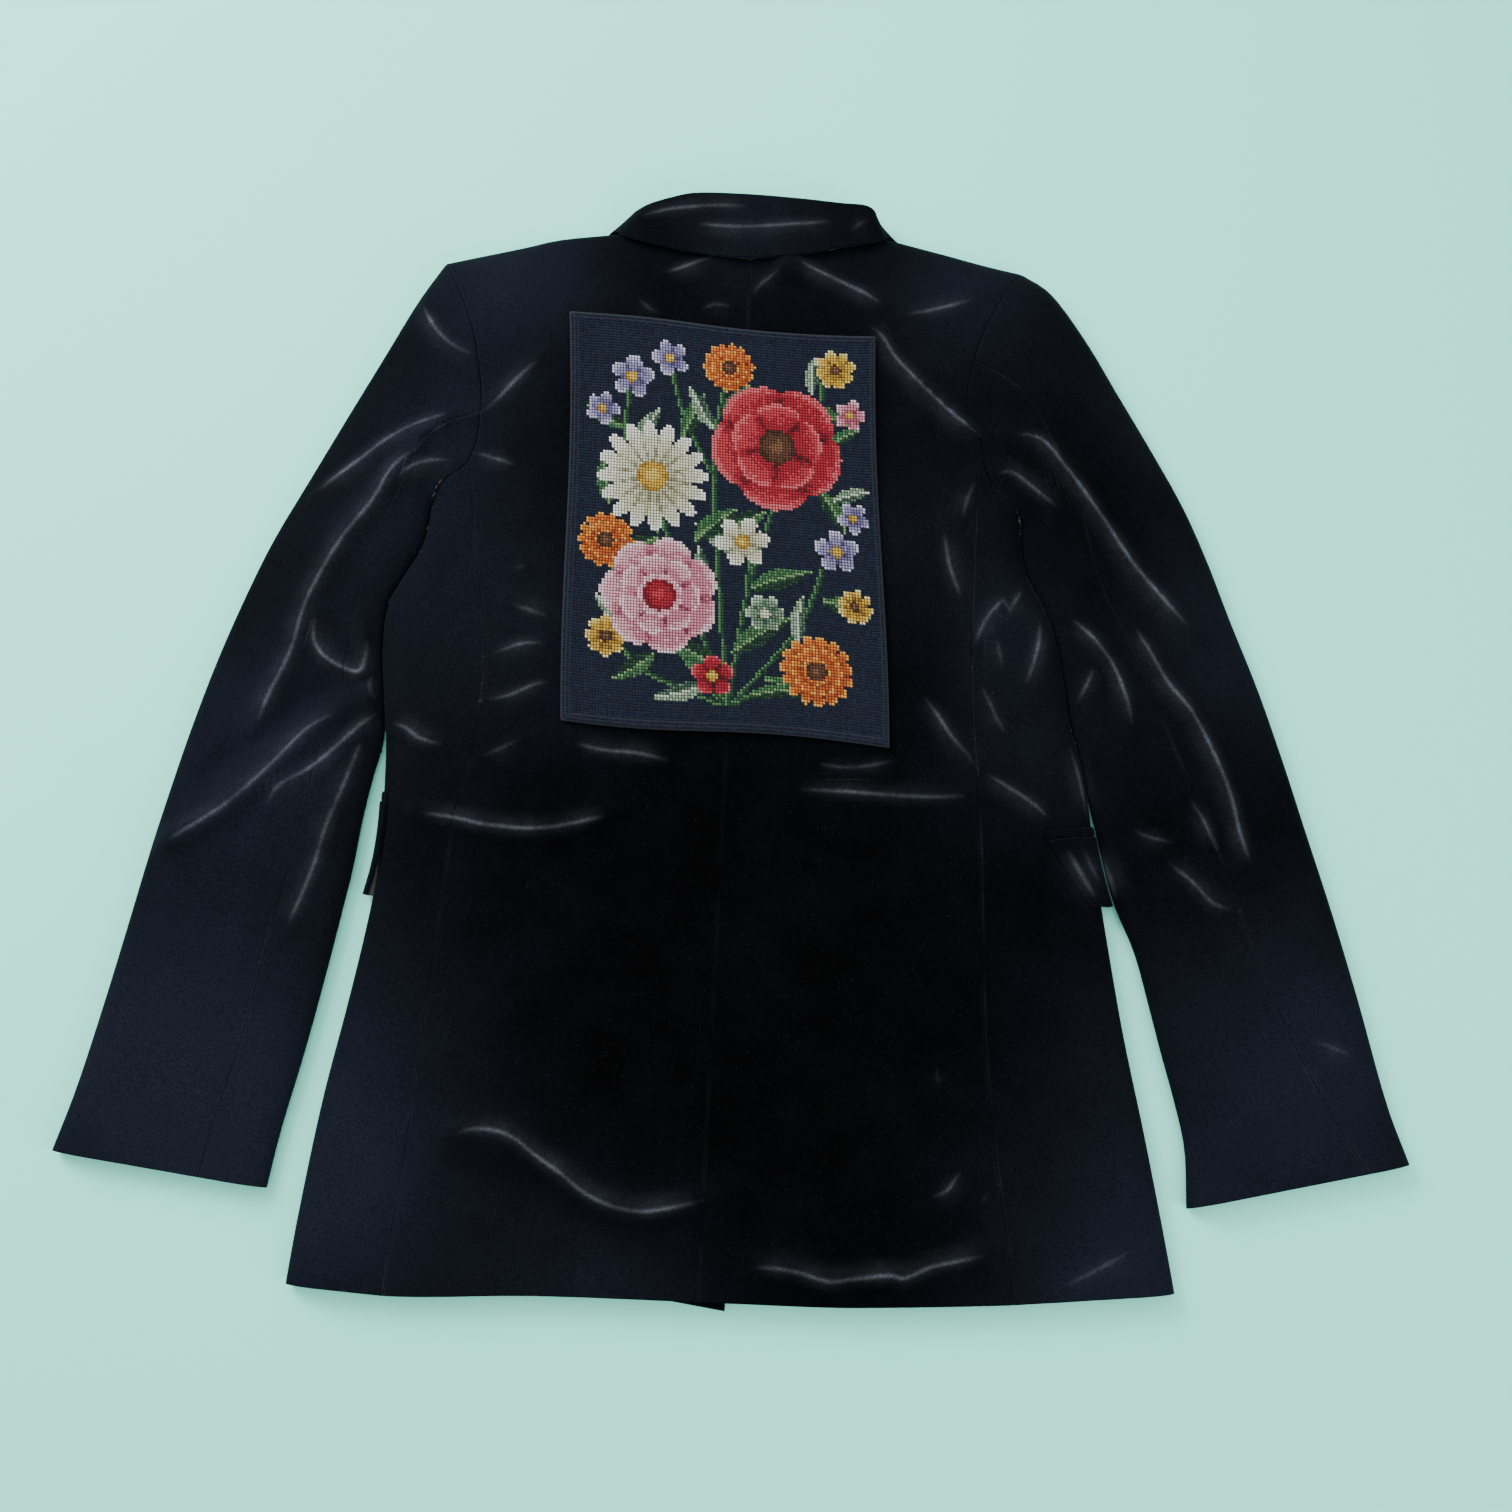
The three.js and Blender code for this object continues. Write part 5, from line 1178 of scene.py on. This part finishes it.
def worked_design(x, y):
    """Number of the wool in PALETTE for each stitch at x, y."""
    uneven = np.abs(np.sin(x * 12.9898 + y * 78.233) * 43758.5453) % 1.0
    design = FIRST_SHADE["navy"] + np.round(uneven * 2).astype(int)

    def work(mask, wool, light):
        shade = np.clip(np.round(light * 4 + (uneven - 0.5) * 0.7), 0, 4).astype(int)
        design[mask] = FIRST_SHADE[wool] + shade[mask]

    for points in STEMS:
        away, side = distance(smooth_line(points, 10), x, y)
        work(away < 1.7, "green", 0.45 + 0.25 * side)
    for foot_x, foot_y, length, width, degrees, wool in LEAVES:
        way = math.radians(degrees)
        along = ((x - foot_x) * math.cos(way) + (y - foot_y) * math.sin(way)) / length
        across = (y - foot_y) * math.cos(way) - (x - foot_x) * math.sin(way) - 4 * along * (1 - along)
        half = width / 2 * np.sin(np.pi * np.clip(along, 0, 1)) ** 0.75 * (1.15 - 0.4 * along)
        inside = (along > 0) & (along < 1) & (np.abs(across) < half)
        veins = 0.16 * np.cos((along * length - np.abs(across) * 1.3) * 1.25)
        light = 0.42 + 0.3 * np.sign(across) * 0.8 + veins - 0.1 * along
        work(inside, wool, np.where(np.abs(across) < 0.9, 0.95, light))
    for wool, centre_x, centre_y, radius, petals, cut, turn, rows, heart in FLOWERS:
        away = np.hypot(x - centre_x, y - centre_y) / radius
        angle = np.arctan2(y - centre_y, x - centre_x) - math.radians(turn)
        for row in range(rows):
            size = 1 - 0.31 * row
            petal = np.abs(np.cos(petals * angle / 2 + row * np.pi / 2))
            reach = size * (1 - cut + cut * petal**0.7)
            light = 0.18 + 0.2 * row / rows + 0.62 * (away / size) ** 1.3 - 0.5 * (1 - petal) ** 3
            light = np.where(away > reach - 0.09 * size, light + 0.22, light)
            work(away < reach, wool, light + 0.08 * np.cos(angle - 2.2))
        work(away < 0.27, heart, 0.85 - away * 2.2)
    return design


print("wools:", len(PALETTE))

# %% [markdown]
# The stitches are blocks that lean a little along the stitch's slant, all in one mesh, coloured by
# one colour attribute: the 48 shades of wool would otherwise need as many materials.

# %% Stitches
u_lines = np.linspace(0.005, 0.995, STITCHES_WIDE + 1)
v_lines = np.linspace(0.004, 0.996, STITCHES_HIGH + 1)
corners = canvas_grid(u_lines, v_lines)
ups = face_normals(corners, 1)
cell = np.stack([corners[:-1, :-1], corners[:-1, 1:], corners[1:, 1:], corners[1:, :-1]], 2)
cell = cell.reshape(-1, 4, 3)
cell_up = ups[:-1, :-1].reshape(-1, 1, 3)
middle = cell.mean(1, keepdims=True)
sizes = 1 + 0.08 * np.sin(np.arange(len(cell)) * 2.4)[:, None, None]
FOOT, SUNK = 0.93, 0.15
CROWN = np.array([0.558, 0.6448, 0.558, 0.6448])[:, None]  # a stitch slants, so two corners reach further
foot = middle + (cell - middle) * FOOT + cell_up * (CANVAS_TOP - SUNK)
crown = middle + (cell - middle) * CROWN + cell_up * (CANVAS_TOP + STITCH_HIGH * sizes)
vertices = np.concatenate([foot, crown], 1).reshape(-1, 3)
first = np.arange(len(cell))[:, None] * 8
sides = [first + np.array([k, (k + 1) % 4, (k + 1) % 4 + 4, k + 4]) for k in range(4)]
blocks = np.concatenate([first + np.array([4, 5, 6, 7])] + [first + np.array([3, 2, 1, 0])] + sides)

across = (u_lines[1:] + u_lines[:-1]) / 2 * CANVAS_WIDE
upwards = (v_lines[1:] + v_lines[:-1]) / 2 * CANVAS_HIGH
shades = worked_design(*np.meshgrid(across, upwards)).ravel()
colours = np.array([linear(shade) for shade in PALETTE])[shades]


def wool_material():
    material, tree = new_material("tapestry_wool")
    place = add_node(tree, "ShaderNodeTexCoord")
    dyed = add_node(tree, "ShaderNodeVertexColor", {"layer_name": "wool"})
    fibres = noise(tree, place, 1500.0, 3.0)
    uneven = ramp(tree, (fibres, "Fac"), "#b8b8b8", "#ffffff")
    spun = mix_colours(tree, 1.0, (dyed, "Color"), (uneven, "Color"), "MULTIPLY")
    fuzz = add_node(tree, "ShaderNodeBump", Strength=0.6, Distance=0.0004, Height=(fibres, "Fac"))
    wool = add_node(tree, "ShaderNodeBsdfPrincipled", Base_Color=(spun, 2), Normal=(fuzz, "Normal"),
                    Roughness=0.9, IOR=1.54)
    wool.inputs["Specular IOR Level"].default_value = 0.1
    wool.inputs["Sheen Weight"].default_value = 0.05
    wool.inputs["Sheen Roughness"].default_value = 0.5
    finish_material(tree, wool)
    return material


stitches = add_mesh("needlepoint_stitches", vertices, blocks, [wool_material()])
layer = stitches.data.color_attributes.new("wool", "FLOAT_COLOR", "POINT")
layer.data.foreach_set("color", np.repeat(colours, 8, axis=0).ravel().astype(np.float32))
CUTS[canvas_base.name][-1].append(stitches)
print("stitches:", len(cell))

# %% [markdown]
# The front button is a turned disc of black resin with a soft rim, a dished face and four holes. It
# lies face down under the waist, so it is small work: rings of points from its middle outwards.

# %% Button
BUTTON_X, BUTTON_Y, BUTTON_RADIUS, BUTTON_THICK = 0.0, 396.0, 10.0, 2.2
HOLE_RADIUS, HOLE_OFF, HOLE_DEPTH, HOLE_SOFT = 0.9, 1.7, 1.0, 0.3
DISH_DEPTH, DISH_RADIUS, DISH_SLOPE = 0.5, 5.5, 1.6
RIM_DROP, RIM_ROUND, BACK_DROP, BACK_ROUND = 0.9, 1.5, 0.4, 0.8


def resin_material():
    material, tree = new_material("black_horn_resin")
    place = add_node(tree, "ShaderNodeTexCoord")
    shade = ramp(tree, (noise(tree, place, 260.0, 2.0), "Fac"), "#0b0b0c", "#1d1a18")
    resin = add_node(tree, "ShaderNodeBsdfPrincipled", Base_Color=(shade, "Color"), Roughness=0.25,
                     IOR=1.54)
    finish_material(tree, resin)
    return material


radii = np.concatenate([np.linspace(0, 4, 26), np.linspace(4.3, 9.6, 16), [9.8, 9.95, BUTTON_RADIUS]])
angles = np.linspace(0, 2 * np.pi, 97)
angle, radius = np.meshgrid(angles, radii)
x, y = radius * np.cos(angle), radius * np.sin(angle)
hole = np.minimum.reduce([np.hypot(x - HOLE_OFF * a, y - HOLE_OFF * b) for a in (-1, 1) for b in (-1, 1)])
dish = DISH_DEPTH * (1 - ease((radius - DISH_RADIUS) / DISH_SLOPE))
holes = HOLE_DEPTH * (1 - ease((hole - HOLE_RADIUS) / HOLE_SOFT + 0.5))
rim = RIM_DROP * (1 - quarter_round((BUTTON_RADIUS - radius) / RIM_ROUND))
down = np.stack([x + BUTTON_X, y + BUTTON_Y, dish + holes + rim], -1)
back_rim = BACK_DROP * (1 - quarter_round((BUTTON_RADIUS - radius) / BACK_ROUND))
up = np.stack([x + BUTTON_X, y + BUTTON_Y, BUTTON_THICK - back_rim], -1)
rows = np.concatenate([up, down[::-1]])
faces = grid_faces(len(rows), len(angles))[:, ::-1]
button = add_mesh("front_button_resin", rows, faces, [resin_material()])
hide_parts("front_button")

# %% [markdown]
# A mint floor and soft light, as in a product photograph. The large light stands at the upper left
# and rakes a little, since velvet shows its folds only where light comes across them. A weaker one
# fills from the lower right.

# %% Stage
def mint_paper():
    material, tree = new_material("mint_paper")
    surface = add_node(tree, "ShaderNodeBsdfPrincipled", Base_Color=linear("#8dfae2"), Roughness=0.9)
    finish_material(tree, surface)
    return material


floor_mesh = bpy.data.meshes.new("paper_floor")
floor_corners = [(x, y, -0.0003) for x, y in ((-3, -3), (3, -3), (3, 3), (-3, 3))]
floor_mesh.from_pydata(floor_corners, [], [(0, 1, 2, 3)])
floor_mesh.materials.append(mint_paper())
floor = bpy.data.objects.new("paper_floor", floor_mesh)
bpy.context.scene.collection.objects.link(floor)


def add_light(name, place, size, watts):
    """Area light that looks at the blazer's middle."""
    data = bpy.data.lights.new(name, "AREA")
    data.size = size
    data.energy = watts
    light = bpy.data.objects.new(name, data)
    light.location = place
    light.rotation_euler = (-Vector(place)).to_track_quat("-Z", "Y").to_euler()
    bpy.context.scene.collection.objects.link(light)


add_light("key", (-1.5, 1.3, 1.3), 1.2, 82)
add_light("fill", (1.6, -1.2, 1.0), 1.5, 30)
add_light("overhead", (0, 0.3, 2.4), 2.5, 38)

world = bpy.data.worlds.new("studio")
world.use_nodes = True
world.node_tree.nodes.clear()
sky = add_node(world.node_tree, "ShaderNodeBackground", Color=linear("#eef4f4"), Strength=0.62)
add_node(world.node_tree, "ShaderNodeOutputWorld", Surface=(sky, 0))
bpy.context.scene.world = world

# %% [markdown]
# Each panel's size as cut is kept in CUTS when its shell is made, since cloth has to come out of flat
# cloth. What shows has neither stretched nor shrunk, so the cut is as large as the face. Here their number is
# printed.

# %% Cuts
print("sheets:", len(CUTS))
